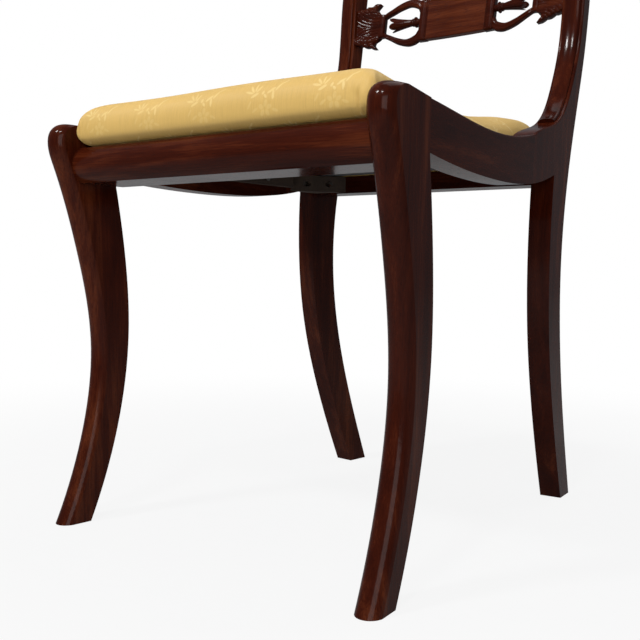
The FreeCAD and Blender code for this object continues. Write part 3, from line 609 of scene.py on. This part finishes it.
@dataclass(frozen=True)
class Plan:
    """The plan of the two side frames and how the solids were moved to the middle."""

    front_width: float = 480.0
    splay: float = math.radians(5.05)
    thickness: float = 29.0
    apex: float = 20.0

    @property
    def shift(self) -> float:
        """How far the solids were moved along Y, found from the front rail's apex."""
        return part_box("front_rail")[0].y / MM - self.apex

    def inner_half(self, y: Union[float, np.ndarray], gap: float = 0.0
                   ) -> Union[float, np.ndarray]:
        """Half the width between the side frames at depth y, less a gap on each side."""
        return (self.front_width / 2 - (self.thickness + gap) / math.cos(self.splay)
                - y * math.tan(self.splay))

    def metres(self, points: np.ndarray) -> np.ndarray:
        """Points in millimetres, as the solids are drawn, in the chair's frame in metres."""
        return (points + np.array([0.0, self.shift, 0.0])) * MM


PLAN = Plan()


@dataclass(frozen=True)
class BowedBoard:
    """The leaning board of the mid rail, bent back in its middle."""

    axis: float = 671.0
    front: float = 501.99
    bow: float = 12.0
    thickness: float = 10.5
    lean: float = math.atan(0.155)

    @property
    def radius(self) -> float:
        """Radius of the front face in plan, from its chord and bow."""
        half = PLAN.inner_half(self.front)
        return (half ** 2 + self.bow ** 2) / (2 * self.bow)

    def place(self, x: np.ndarray, depth: np.ndarray, z: np.ndarray) -> np.ndarray:
        """Puts points of the straight board in place.

        The depth runs along the radius of the bow, the board is then turned back about X
        by its lean and moved to its height.

        Args:
            x: distance from the middle of the chair.
            depth: depth behind the front face.
            z: height above the axis of the rail.

        Returns:
            Points in the chair's frame, in metres.
        """
        x, depth, z = np.broadcast_arrays(x, depth, z)
        y = self.bow - self.radius + np.sqrt((self.radius + depth) ** 2 - x ** 2)
        cos, sin = math.cos(self.lean), math.sin(self.lean)
        return PLAN.metres(np.stack([x, self.front + y * cos + z * sin,
                                     self.axis - y * sin + z * cos], axis=-1))


BOARD = BowedBoard()


@dataclass
class MidRail:
    """The carved mid rail: tablet, bead mouldings, open loops, neck bands and fans."""

    tablet_half: float = 47.0
    tablet_height: float = 28.5
    bead_end: float = 60.5
    loop_end: float = 121.5
    band_end: float = 127.5
    post: float = 168.0
    reed_pitch: float = 4.2
    reed_depth: float = 1.0
    finish: bpy.types.Material = field(init=False)
    carved: bpy.types.Material = field(init=False)

    def __post_init__(self) -> None:
        """Mixes the two finishes of the rail: the tablet is paler than the carving."""
        self.finish = PolishedMahogany("mahogany_tablet", Grain.ACROSS, 3.1, lift=0.10,
                                       gloss=0.26).build()
        self.carved = PolishedMahogany("mahogany_carved", Grain.ACROSS, 4.7,
                                       gloss=0.24).build()

    def tablet(self) -> bpy.types.Object:
        """The flat panel between the beads.

        Its section is a rectangle whose corners are rounded by a power curve, with a
        shallow sunk field on the front, carried along X.
        """
        z, deep = squared(np.linspace(0, 2 * math.pi, 96, endpoint=False), 2 / 14)
        z = z * self.tablet_height
        half = BOARD.thickness / 2
        x = np.linspace(-self.tablet_half - 2, self.tablet_half + 2, 49)[:, None]
        sunk = 0.5 / (1 + np.exp((np.abs(z) - self.tablet_height + 2.6) * 5)) * (deep < 0)
        points = BOARD.place(x, half + deep * half + sunk, z)
        return mesh_from_grid("mid_rail_tablet", points, True, True)

    def bead(self, side: int) -> bpy.types.Object:
        """The upright moulding at an end of the tablet: a fillet, a hollow and a round.

        The front line in plan is a sum of a broad round near the loop and a small one near
        the panel. The section is carried up the rail.
        """
        across = np.linspace(0, 1, 41)
        front = self.tablet_half + across * (self.bead_end - self.tablet_half)
        rounds = (2.2 * np.sqrt(np.clip(1 - ((across - 0.58) / 0.42) ** 2, 0, 1))
                  + 1.2 * np.sqrt(np.clip(1 - ((across - 0.07) / 0.07) ** 2, 0, 1)))
        x = there_and_back(front, front)
        deep = there_and_back(0.9 - rounds, np.full_like(front, BOARD.thickness - 0.2))
        z = np.linspace(-1, 1, 33)[:, None]
        ease = 1 - 0.05 * np.abs(z) ** 24
        middle = BOARD.thickness / 2
        points = BOARD.place(side * x, middle + (deep - middle) * ease,
                             z * (self.tablet_height + 0.4) + 0 * x)
        return mesh_from_grid("mid_rail_bead_" + hand(side), points, True, True)

    def stem(self, side: int, up: int) -> bpy.types.Object:
        """One bent stem of a loop, between its outer and inner lines.

        At each place along it the section is a power curve between round and square that
        spans the two lines, with a shallow groove along its front.
        """
        outer = smooth_path([(52, 27.8), (58.5, 28.8), (68, 33), (79, 34), (95, 29.8),
                             (110, 22.3), (122, 17.0), (129, 17.4)], 90)
        inner = smooth_path([(52, 14), (61.2, 12), (66, 18.6), (80, 23.5), (95, 20.4),
                             (107, 15.8), (118, 11), (129, 4)], 90)
        lift, deep = squared(np.linspace(0, 2 * math.pi, 40, endpoint=False), 0.75)
        middle, half = (outer + inner) / 2, (outer - inner) / 2
        x = middle[:, :1] + half[:, :1] * lift
        z = middle[:, 1:] + half[:, 1:] * lift
        groove = 1.1 * bump_of(lift, 0.30, 0.16) * (deep < 0)
        sink = 2.2 * np.clip((x - 116) / 9, 0, 1) * (deep < 0)
        depth = BOARD.thickness / 2 * (1 + deep * 0.96) + groove * 0.6 + sink
        points = BOARD.place(side * x, depth, up * z)
        level = "upper" if up > 0 else "lower"
        return mesh_from_grid(f"mid_rail_stem_{level}_{hand(side)}", points, True, True)

    def band(self, side: int) -> bpy.types.Object:
        """The upright band between a loop and its fan, rounded on the front."""
        across = np.linspace(-1, 1, 31)
        front = ((self.loop_end + self.band_end) / 2
                 + across * ((self.band_end + 2.5 - self.loop_end) / 2))
        bulge = 0.9 * np.sqrt(np.clip(1 - (across / 1.02) ** 2, 0, 1))
        x = there_and_back(front, front)
        deep = there_and_back(1.6 - bulge, np.full_like(front, BOARD.thickness - 0.4))
        z = np.linspace(-1, 1, 41)[:, None]
        widen = 16.6 + 1.6 * np.clip((x - self.loop_end) / 8, 0, 1) ** 2
        ease = 1 - 0.10 * np.abs(z) ** 16
        middle = BOARD.thickness / 2
        points = BOARD.place(side * x, middle + (deep - middle) * ease, z * widen)
        return mesh_from_grid("mid_rail_band_" + hand(side), points, True, True)

    def fan(self, side: int) -> bpy.types.Object:
        """The carved fan against a post.

        The plan of the fan is spanned between its edge at the band, which hooks out to a
        pointed tip, and its edge at the post, and its long edges are scalloped in three
        lobes. Reeds run along ellipses round each tip, so that they leave the band level
        and turn out to the lobes, and their height is the absolute sine of the distance.
        """
        a = np.linspace(0, 1, 110)[:, None]
        b = np.linspace(-1, 1, 121)[None, :]
        side_b = np.abs(b)
        start = smooth_path([(125.5, 0.0), (125.5, 9.0), (126.0, 16.0), (129.0, 19.6),
                             (134.4, 22.6), (135.4, 27.0), (129.4, 33.4)], 121)
        share = np.linspace(0, 1, 121)
        edge_x = np.interp(side_b, share, start[:, 0])
        edge_z = np.interp(side_b, share, start[:, 1])
        x = edge_x * (1 - a) + self.post * a
        z = edge_z * (1 - a) + 24.4 * side_b * a
        lobes = np.abs(np.sin(math.pi * 3 * a)) ** 0.7
        z = z + (lobes * 1.9 - 1.0) * side_b ** 10 * np.minimum(1, a * 12)
        z = z * np.sign(b)
        high = np.abs(z)
        tip_x, tip_z, flatten = 134.5, 31.5, 1.45
        reach = np.hypot(np.clip(x - tip_x, 0, None) / flatten, tip_z - high)
        reed = np.abs(np.sin(math.pi * reach / self.reed_pitch + 0.4)) ** 0.45
        fade = np.clip((x - 126.5) / 2.5, 0, 1) * np.clip(reach / 5.0, 0, 1)
        fade = fade * (0.75 + 0.9 * np.clip((high - 12) / 12, 0, 1))
        swell = 1.8 * bump_of(high, 21, 6.5) * np.clip((x - 130) / 12, 0, 1)
        hollow = bump_of(x, 142, 9.0) * (1 - side_b ** 2)
        curl = 1.6 * bump_of(reach, 1.0, 3.0)
        flute = 1.7 * lobes * np.clip((high - 13) / 9, 0, 1)
        rim = 0.5 * side_b ** 30
        front = (2.4 - self.reed_depth * reed * fade - swell + hollow - curl - flute
                 + rim * 2.5)
        back = np.full_like(front, BOARD.thickness - 0.3) - rim * 2.0
        points = BOARD.place(side * there_and_back(x, x), there_and_back(front, back),
                             there_and_back(z, z))
        return mesh_from_grid("mid_rail_fan_" + hand(side), points, True, True)

    def build(self) -> None:
        """Builds every piece of the rail in place of its solid."""
        pieces = [(self.tablet(), self.finish)]
        for side in (1, -1):
            carved = [self.bead(side), self.band(side), self.fan(side)]
            carved += [self.stem(side, up) for up in (1, -1)]
            pieces += [(piece, self.carved) for piece in carved]
        for piece, material in pieces:
            dress(piece, material, FRAME_BODY, "mahogany", "mid_rail")


@dataclass
class Bellflower:
    """A carved bellflower that stands out from the tablet into a loop."""

    length: float = 47.0
    start: float = 60.8
    petals: int = 5

    def flower(self, side: int) -> bpy.types.Object:
        """The flower: a turned neck and collar, then a bell of petals with pointed ends.

        The radius along the bell grows from the waist by a power of the distance. Petals
        swell it by the absolute sine of the turn, and their points reach further out than
        the notches between them. The inside is a hollow cup that comes back to the axis.
        """
        s = np.concatenate([np.linspace(-0.02, 0.30, 26), np.linspace(0.31, 1.0, 50)])[:, None]
        turn = np.linspace(0, 2 * math.pi, 120, endpoint=False)[None, :]
        petal = np.abs(np.cos(turn * self.petals / 2))
        collar = (2.9 * bump_of(s * self.length, 7.0, 1.9)
                  + 1.2 * bump_of(s * self.length, 11.6, 1.1))
        bell = np.clip((s - 0.26) / 0.74, 0, 1)
        radius = 4.6 + collar + 5.6 * bell ** 1.25 * (0.82 + 0.18 * petal)
        vein = 0.35 * np.abs(np.sin(turn * self.petals * 2.5)) * bell
        radius = radius - 0.9 * bump_of(petal, 0.0, 0.14) * bell + vein
        tip = 0.84 + 0.16 * petal ** 0.7
        along = s * self.length * (1 + (tip - 1) * np.clip((s - 0.5) / 0.5, 0, 1))
        cup = np.linspace(0, 1, 14)[1:, None]
        edge = (self.length * tip)[0]
        cup_radius = radius[-1] * (1 - cup) * 0.94
        cup_along = edge - 1.0 - (edge - 0.72 * self.length) * cup ** 0.6
        radius = np.concatenate([radius, cup_radius])
        along = np.concatenate([along + 0 * turn, cup_along])
        around = np.broadcast_to(turn, radius.shape)
        points = BOARD.place(side * (self.start + along),
                             BOARD.thickness / 2 + radius * np.cos(around),
                             radius * np.sin(around))
        return mesh_from_grid("bellflower_carving_" + hand(side), points, True, True)

    def build(self, material: bpy.types.Material) -> None:
        """Builds both flowers in place of their solids."""
        for side in (1, -1):
            dress(self.flower(side), material, FRAME_BODY, "mahogany",
                  "bellflower_" + hand(side))


@dataclass(frozen=True)
class Tuck:
    """A tuck on the cushion's front, in millimetres.

    It has a side, a distance from the corner, a depth, a lean and the height of its middle.
    """

    side: int
    place: float
    deep: float
    lean: float
    middle: float


TUCKS = (
    Tuck(1, 17.5, 3.2, 0.0, 14.0), Tuck(1, 24.0, 0.7, 0.55, 24.0),
    Tuck(1, 30.0, 0.6, 0.85, 26.0), Tuck(1, 37.0, 0.5, 1.1, 27.0),
    Tuck(-1, 5.0, 1.4, 0.0, 12.0), Tuck(-1, 12.0, 0.5, 0.3, 20.0),
)


@dataclass
class Cushion:
    """The upholstered drop in seat: its stuffed form and everything below it."""

    front: float = 24.6
    back: float = 438.5
    side_gap: float = 0.8
    base: float = 442.3
    cover: float = 1.2
    board_thickness: float = 19.0
    margin: float = 17.0
    strap_width: float = 50.0
    strap_ends: float = 13.0

    def outline(self, inset: np.ndarray, radius: np.ndarray, arc: int = 10, run: int = 84
                ) -> np.ndarray:
        """Plan outlines of the seat, one for each inset.

        Each corner of the trapezoid is an arc that touches both sides. The same number of
        points lies on every arc and every straight run, closer together near the corners.

        Args:
            inset: how far each outline is drawn in.
            radius: radius of its corners.
            arc: points on a corner.
            run: points on a straight run.

        Returns:
            Array of outlines by points by 2.
        """
        y0, y1 = self.front + inset, self.back - inset
        gap = self.side_gap + inset
        x0, x1 = PLAN.inner_half(y0, gap), PLAN.inner_half(y1, gap)
        corners = np.stack([np.stack([x0, y0], -1), np.stack([x1, y1], -1),
                            np.stack([-x1, y1], -1), np.stack([-x0, y0], -1)], axis=1)
        before = np.roll(corners, 1, axis=1) - corners
        after = np.roll(corners, -1, axis=1) - corners
        before /= np.linalg.norm(before, axis=-1, keepdims=True)
        after /= np.linalg.norm(after, axis=-1, keepdims=True)
        half = np.arccos(np.clip((before * after).sum(-1), -1, 1)) / 2
        middle = before + after
        middle /= np.linalg.norm(middle, axis=-1, keepdims=True)
        centre = corners + middle * (radius[:, None] / np.sin(half))[..., None]
        reach = (radius[:, None] / np.tan(half))[..., None]
        first = corners + before * reach - centre
        last = corners + after * reach - centre
        sweep = np.pi - 2 * half
        t = np.linspace(0, 1, arc)[None, None, :, None]
        turn = sweep[..., None, None]
        arcs = (np.sin((1 - t) * turn) * first[:, :, None] + np.sin(t * turn)
                * last[:, :, None]) / np.sin(turn) + centre[:, :, None]
        ends = arcs[:, :, -1]
        starts = np.roll(arcs[:, :, 0], -1, axis=1)
        f = np.linspace(0, 1, run + 2)[1:-1]
        f = np.interp(f, [0, 0.28, 0.72, 1], [0, 0.11, 0.89, 1])[None, None, :, None]
        runs = ends[:, :, None] * (1 - f) + starts[:, :, None] * f
        return np.concatenate([arcs, runs], axis=2).reshape(len(inset), -1, 2)

    def settle(self, points: np.ndarray, rise: np.ndarray) -> np.ndarray:
        """How far each place is pressed down or stands up after years of use.

        The sides dip in the middle of their length and the back stands higher. Both grow
        from nothing at the under edge to their whole at the rolled edge, with broad lumps
        that are products of sines.

        Args:
            points: plan of the rings.
            rise: rise of every place above the under edge.

        Returns:
            Change of height for every place.
        """
        x, y = points[..., 0], points[..., 1]
        back = np.interp(y, [320, 350, 380, 410, 440], [0.0, 1.2, 4.2, 7.6, 8.6])
        dip = np.interp(y, [55, 120, 180, 250, 300, 340, 370], [0, 8, 12, 12.4, 8.6, 3, 0])
        share = np.clip((rise - 8) / 34, 0, 1)
        edge = 0.25 + 0.75 * (np.abs(x) / PLAN.inner_half(y)) ** 2
        lumps = 0.9 * np.sin(x / 41 + 0.6) * np.sin(y / 37 + 1.1)
        return share * (back - dip * edge + lumps)

    def form(self, name: str, shrink: float, hollow: bool) -> bpy.types.Object:
        """The stuffed form as one surface from its under edge over the crown.

        Rings follow a profile of height and inset: the under edge, the drawn in foot, the
        upright side, the rolled edge and the slow rise to the crown, where the rings
        shrink to one point in the middle. The cloth's coordinates are the plan on top and
        go on outwards by the length of the profile down the sides.

        Args:
            name: name of the object.
            shrink: how far the form lies inside the cover's outer face.
            hollow: True for the cover, which is open below, and False for the pad.

        Returns:
            The new object.
        """
        under = [(0.0, self.margin), (0.0, 12.5)] if hollow else [(0.0, 24.0), (0.0, 15.0)]
        profile = smooth_path(under + [
            (0.9, 10.4), (2.8, 6.6), (5.8, 3.2), (9.8, 0.9), (16.0, 0.1), (24.5, 0.7),
            (33.0, 3.4), (39.4, 8.0), (43.8, 14.0), (47.0, 22.0), (49.6, 34.0),
            (51.8, 52.0), (53.4, 76.0), (54.6, 104.0)], 62)
        rise, inset = profile[:, 0], profile[:, 1]
        radius = np.interp(rise, [0, 5, 17, 34, 42, 48, 54], [7, 4.5, 3.2, 4.6, 7.5, 13, 25])
        rings = self.outline(inset + shrink, radius)
        full = rise[-1]
        heights = np.broadcast_to((shrink + rise * (full - 2 * shrink) / full)[:, None],
                                  rings.shape[:2])
        centre = rings[-1].mean(axis=0)
        t = np.linspace(1, 0, 21)[1:, None, None]
        crown = centre + (rings[-1] - centre) * t
        crown_rise = heights[-1, 0] + 1.6 * (1 - t[:, :, 0] ** 2)
        points = np.concatenate([rings, crown])
        z = np.concatenate([heights, np.broadcast_to(crown_rise, crown.shape[:2])])
        z = z + self.settle(points, z)
        uv = np.concatenate([self.unroll(rings, rise, inset), crown])
        if hollow:
            points = self.folds(points, z)
        grid = PLAN.metres(np.concatenate([points, self.base + z[..., None]], axis=-1))
        return mesh_from_grid(name, grid, True, uv=uv * MM)

    def unroll(self, rings: np.ndarray, rise: np.ndarray, inset: np.ndarray) -> np.ndarray:
        """The cloth's coordinates of the rings, flat on top and laid outwards at the sides.

        A place below the rolled edge moves outwards by the length of the profile from
        there, less what it already lies further out.
        """
        outward = rings - np.roll(rings, 1, axis=1)
        outward = np.stack([outward[..., 1], -outward[..., 0]], -1)
        outward /= np.linalg.norm(outward, axis=-1, keepdims=True) + 1e-9
        length = np.concatenate([[0], np.cumsum(np.hypot(np.diff(rise), np.diff(inset)))])
        edge = int(np.argmax(inset * (rise > 20) > 21.0))
        beyond = (length[edge] - length) - (inset[edge] - inset)
        return rings + outward * np.where(np.arange(len(rise)) < edge, beyond, 0)[:, None, None]

    def folds(self, points: np.ndarray, z: np.ndarray) -> np.ndarray:
        """Tucks and pulls of the cloth near the front corners.

        A tuck is a narrow groove on the front, as deep as a normal curve of the distance
        from its leaning line, with a low ridge beside it, and it dies out above and below
        its middle. Finer pulls are sines of the distance from the corner.

        Args:
            points: plan of the rings.
            z: height of every place above the base.

        Returns:
            The plan with the folds in it.
        """
        corner = PLAN.inner_half(self.front, self.side_gap)
        share = np.clip((z - 1) / 5, 0, 1) * np.clip((47 - z) / 12, 0, 1)
        near = np.clip(1 - (points[..., 1] - self.front) / 30, 0, 1)
        depth = np.zeros_like(z)
        for side in (1, -1):
            away = np.abs(side * corner - points[..., 0])
            for tuck in (t for t in TUCKS if t.side == side):
                slant = away - tuck.place - tuck.lean * (z - tuck.middle)
                stretch = tuck.deep * np.exp(-((z - tuck.middle) / 9) ** 4)
                depth += stretch * bump_of(slant, 0.0, 1.3)
                depth -= 0.35 * stretch * bump_of(slant, -4.5, 2.6)
            depth += 0.3 * np.sin(away * 0.75 + z * 0.22) * np.exp(-away / 26)
        fold = share * near * depth
        return points + np.stack([np.zeros_like(fold), fold], -1)

    def sheet_grid(self, name: str, inset: float, height: float, sag: float, count: int = 46
                   ) -> tuple[bpy.types.Object, float]:
        """A flat cloth with the seat's plan that sags in its middle.

        Rows run back and columns across, and the sag is the product of two parabolas.

        Args:
            name: name of the object.
            inset: how far its edge lies inside the seat's outline.
            height: height of its edge.
            sag: how far the middle hangs below the edge.
            count: points each way.

        Returns:
            The object and its flat area in square metres.
        """
        y = np.linspace(self.front + inset, self.back - inset, count)[:, None]
        s = np.linspace(-1, 1, count)[None, :]
        x = s * PLAN.inner_half(y, self.side_gap + inset)
        t = np.linspace(-1, 1, count)[:, None]
        z = height - sag * (1 - s ** 2) * (1 - t ** 2)
        y = np.broadcast_to(y, x.shape)
        points = np.stack([x, y, z], axis=-1)
        uv = np.stack([x, y], axis=-1) * MM
        piece = mesh_from_grid(name, PLAN.metres(points), uv=uv)
        deep = self.back - self.front - 2 * inset
        area = float(np.abs(x[:, -1] - x[:, 0]).mean() * deep) * MM * MM
        return piece, area

    def strap(self, node: str, number: int, start: tuple[float, float],
              end: tuple[float, float], phase: float, web: bpy.types.Material) -> None:
        """Builds one webbing strap, woven through those that it crosses.

        Its height is a sine along its length whose turns match the crossings.

        Args:
            node: the node that it helps to stand for.
            number: its number in that node.
            start: plan of one end of its middle line.
            end: plan of the other end.
            phase: turn of the sine at its start.
            web: its material.
        """
        t = np.linspace(0, 1, 90)[:, None]
        s = np.linspace(-0.5, 0.5, 9)[None, :]
        a, b = np.array(start), np.array(end)
        wide, reach = self.strap_width, float(np.linalg.norm(b - a))
        run, length = (b - a) / reach, reach * MM
        side = np.array([-run[1], run[0]])
        plan = a + (b - a) * t[..., None] + side * wide * s[..., None]
        height = self.base + self.cover + self.board_thickness + 0.62 + 0.5
        wave = 0.55 * np.sin(math.pi * 3 * t + phase) * np.sin(math.pi * t) ** 0.5
        z = np.broadcast_to(height + wave, plan.shape[:2])
        uv = np.stack([np.broadcast_to(s * wide, z.shape),
                       np.broadcast_to(t * reach, z.shape)], -1) * MM
        strap = mesh_from_grid(f"{node}_{number}",
                               PLAN.metres(np.concatenate([plan, z[..., None]], -1)), uv=uv)
        self.thicken(strap, 0.8)
        dress(strap, web, SEAT_BODY, "jute_webbing", node)

    def thicken(self, piece: bpy.types.Object, thickness: float) -> None:
        """Gives a cloth its thickness, half to each side for a sheet."""
        solid = piece.modifiers.new("thickness", "SOLIDIFY")
        solid.thickness = thickness * MM
        solid.offset = 0.0

    def build(self) -> None:
        """Builds the cover, the pad, the webbing and the cloths in place of their solids."""
        damask = Damask("gold_damask").build()
        cover = self.form("seat_cover_damask", self.cover / 2, True)
        self.thicken(cover, self.cover)
        dress(cover, damask, SEAT_BODY, "damask", "seat_cover")
        pad = self.form("seat_pad", self.cover + 0.4, False)
        self.trim_pad(pad)
        dress(pad, Horsehair("curled_horsehair").build(), SEAT_BODY, "stuffing", "seat_stuffing")
        self.build_cloths()
        self.build_webbing()

    def trim_pad(self, pad: bpy.types.Object) -> None:
        """Flattens the underside of the pad on to the hessian and closes it."""
        floor = (self.base + self.cover + self.board_thickness + 2.8) * MM
        work = bmesh.new()
        work.from_mesh(pad.data)
        whole = work.verts[:] + work.edges[:] + work.faces[:]
        cut = bmesh.ops.bisect_plane(work, geom=whole, plane_co=(0, 0, floor),
                                     plane_no=(0, 0, 1), clear_inner=True)
        rim = [e for e in cut["geom_cut"] if isinstance(e, bmesh.types.BMEdge)]
        bmesh.ops.holes_fill(work, edges=rim, sides=0)
        open_edges = [e for e in work.edges if e.is_boundary]
        bmesh.ops.holes_fill(work, edges=open_edges, sides=0)
        bmesh.ops.recalc_face_normals(work, faces=work.faces)
        work.to_mesh(pad.data)
        work.free()

    def build_cloths(self) -> None:
        """The black dust cover below and the hessian above the webbing."""
        black = PlainCloth("black_dust_cloth", (0.004, 0.004, 0.0045), (0.016, 0.015, 0.015),
                           0.9).build()
        low = self.base + self.cover
        dust, area = self.sheet_grid("dust_cover_cloth", 18.2, low - 0.32, 1.2)
        self.thicken(dust, 0.5)
        dress(dust, black, SEAT_BODY, "black_cloth", "dust_cover")
        jute = PlainCloth("hessian_cloth", (0.14, 0.09, 0.045), (0.46, 0.34, 0.19), 1.7).build()
        top = low + self.board_thickness + 2.3
        cloth, area = self.sheet_grid("hessian_sheet", 11.0, top, 0.0)
        self.thicken(cloth, 0.5)
        dress(cloth, jute, SEAT_BODY, "hessian", "hessian")

    def build_webbing(self) -> None:
        """Three straps each way, woven through each other on top of the seat frame."""
        web = PlainCloth("jute_webbing", (0.17, 0.11, 0.055), (0.55, 0.43, 0.26), 1.3,
                         (0.05, 0.03, 0.02), 17.0).build()
        pitch = 2 * PLAN.inner_half(self.back, 52.0) / 3
        for k in range(3):
            x = (k - 1) * pitch
            self.strap("webbing_lengthwise", k + 1, (x, self.front + self.strap_ends),
                       (x, self.back - self.strap_ends), math.pi * k, web)
        first, last = self.front + 59, self.back - 59
        for k in range(3):
            y = first + (k + 0.5) * (last - first) / 3
            half = PLAN.inner_half(y + self.strap_width / 2, self.side_gap + self.strap_ends)
            self.strap("webbing_crosswise", k + 1, (-half, y), (half, y),
                       math.pi * (k + 1), web)


@dataclass
class Joinery:
    """The solids that stay, each with a finish whose fibres run along the piece."""

    def build(self) -> None:
        """Gives every kept node its finish."""
        up, back, across = Grain.UP, Grain.BACK, Grain.ACROSS
        wood: dict[str, tuple[Grain, float]] = {
            "front_rail": (across, 1.3), "back_rail": (across, 2.2), "crest_rail": (across, 5.9),
            "moulding_pegs": (up, 0.4)}
        for side, seed in (("left", 0.0), ("right", 6.5)):
            wood["front_leg_" + side] = (up, 0.9 + seed)
            wood["rear_leg_" + side] = (up, 2.6 + seed)
            wood["side_rail_" + side] = (back, 3.8 + seed)
            wood["post_moulding_" + side] = (up, 5.2 + seed)
        for node, (grain, seed) in wood.items():
            self.assign(node, PolishedMahogany("mahogany_" + node, grain, seed).build())
        plain: dict[str, Grain] = {
            "seat_frame_front": across, "seat_frame_back": across, "seat_frame_left": back,
            "seat_frame_right": back, "seat_ledge_left": back, "seat_ledge_right": back}
        for side in ("left", "right"):
            plain["front_corner_block_" + side] = across
            plain["back_corner_block_" + side] = across
        for k, (node, grain) in enumerate(plain.items()):
            self.assign(node, PlainTimber("timber_" + node, grain, 1.7 * k).build())
        steel = OldSteel("old_steel").build()
        for node in ("corner_block_screws", "ledge_screws"):
            self.assign(node, steel)
        self.assign("cover_tacks", OldSteel("blued_steel", (0.05, 0.055, 0.065)).build())

    def assign(self, node: str, material: bpy.types.Material) -> None:
        """Puts one material on a node.

        Args:
            node: name of the node.
            material: its finish.
        """
        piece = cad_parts[node]
        piece.data.materials.clear()
        piece.data.materials.append(material)
        log.info("%s: %s", node, material.name)


@dataclass(frozen=True)
class Lamp:
    """A square soft lamp: its place and the point it looks at in metres, side and watts."""

    name: str
    spot: tuple[float, float, float]
    aim: tuple[float, float, float]
    size: float
    power: float

    def hang(self) -> None:
        """Hangs the lamp, turned to look at its point."""
        data = bpy.data.lights.new(self.name, "AREA")
        data.shape = "SQUARE"
        data.size = self.size
        data.energy = self.power
        back = np.array(self.spot, float) - np.array(self.aim, float)
        back /= np.linalg.norm(back)
        side = np.cross([0.0, 0.0, 1.0], back)
        side /= np.linalg.norm(side)
        add(self.name, data, (side, np.cross(back, side), back, np.array(self.spot, float)))


LAMPS = (
    Lamp("key", (-0.75, -1.75, 2.45), (0, 0, 0.4), 0.32, 44),
    Lamp("second", (0.5, -1.8, 2.4), (0, 0, 0.4), 0.28, 26),
    Lamp("fill", (2.0, -2.6, 1.3), (0, 0, 0.35), 1.8, 36),
    Lamp("top", (0.2, 0.9, 3.0), (0, 0, 0.3), 2.0, 26),
)


@dataclass
class Studio:
    """The pale floor, the soft lamps and the camera of the photograph."""

    focal: float = 863.25
    centre: tuple[float, float] = (354.32, 390.62)
    picture: float = 640.0
    sensor: float = 36.0
    stand: tuple[float, float, float] = (652.62, -601.86, 312.74)
    yaw: float = 0.63325
    pitch: float = -0.142375
    roll: float = 0.017795
    floor_half: float = 9.0
    floor_white: float = 0.88
    glossy_white: float = 0.25
    sky: Colour = (0.9, 0.94, 1.0)
    sky_strength: float = 0.28
    white: Colour = (1.0, 1.0, 1.0)

    def camera(self) -> None:
        """Places the camera: turned about Z, dipped, and rolled about its own line."""
        sin, cos = math.sin(self.yaw), math.cos(self.yaw)
        ahead = np.array([-sin * math.cos(self.pitch), cos * math.cos(self.pitch),
                          math.sin(self.pitch)])
        level = np.array([cos, sin, 0.0])
        above = np.cross(level, ahead)
        right = level * math.cos(self.roll) + above * math.sin(self.roll)
        data = bpy.data.cameras.new("camera")
        data.sensor_width = self.sensor
        data.lens = self.sensor * self.focal / self.picture
        data.shift_x = (self.picture / 2 - self.centre[0]) / self.picture
        data.shift_y = (self.centre[1] - self.picture / 2) / self.picture
        data.clip_start = 0.01
        spot = PLAN.metres(np.array(self.stand))
        bpy.context.scene.camera = add("camera", data,
                                       (right, np.cross(right, ahead), -ahead, spot))

    def floor(self) -> None:
        """A wide pale floor that keeps a faint shadow and shows white further off."""
        g = Graph("pale_floor")
        speckle = g.noise(g.place(), 40.0, 3.0)
        tone = g.mix(speckle, (0.40, 0.40, 0.40), (0.46, 0.46, 0.46))
        cloth = g.node("ShaderNodeBsdfDiffuse", None, {0: tone})
        away = g.node("ShaderNodeVectorMath", {"operation": "LENGTH"}, {0: g.place()}, out=1)
        share = self.floor_white + away.ramp(0.4, 1.5) * (1 - self.floor_white)
        eye = g.node("ShaderNodeLightPath", out="Is Camera Ray")
        seen = g.maths("MAXIMUM", eye * share, eye.other("Is Glossy Ray") * self.glossy_white)
        seen = g.maths("MAXIMUM", seen, eye.other("Is Transmission Ray"))
        glow = g.node("ShaderNodeEmission", None, {0: self.white, 1: 1.0})
        g.close(g.node("ShaderNodeMixShader", None, {0: seen, 1: cloth, 2: glow}))
        mesh = bpy.data.meshes.new("floor")
        half = self.floor_half
        mesh.from_pydata([(-half, -half, 0), (half, -half, 0), (half, half, 0),
                          (-half, half, 0)], [], [(0, 1, 2, 3)])
        mesh.materials.append(g.owner)
        floor = add("floor", mesh)

    def world(self) -> None:
        """A soft grey sky for light, seen as white."""
        g = Graph("studio", world=True)
        eye = g.node("ShaderNodeLightPath", out="Is Camera Ray")
        seen = g.maths("MAXIMUM", eye, eye.other("Is Transmission Ray"))
        light = g.node("ShaderNodeBackground", None, {0: self.sky, 1: self.sky_strength})
        white = g.node("ShaderNodeBackground", None, {0: self.white, 1: 1.0})
        mixed = g.node("ShaderNodeMixShader", None, {0: seen, 1: light, 2: white})
        bpy.context.scene.world = g.close(mixed, "ShaderNodeOutputWorld")

    def build(self) -> None:
        """Builds the whole studio."""
        self.camera()
        self.floor()
        self.world()
        for lamp in LAMPS:
            lamp.hang()
        bpy.context.scene.view_settings.view_transform = "Standard"


def main() -> None:
    """Builds the chair's looks in order."""
    logging.basicConfig(level=logging.INFO)
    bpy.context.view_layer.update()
    Joinery().build()
    rail = MidRail()
    rail.build()
    Bellflower().build(rail.carved)
    Cushion().build()
    Studio().build()


if __name__ == "__main__":
    main()
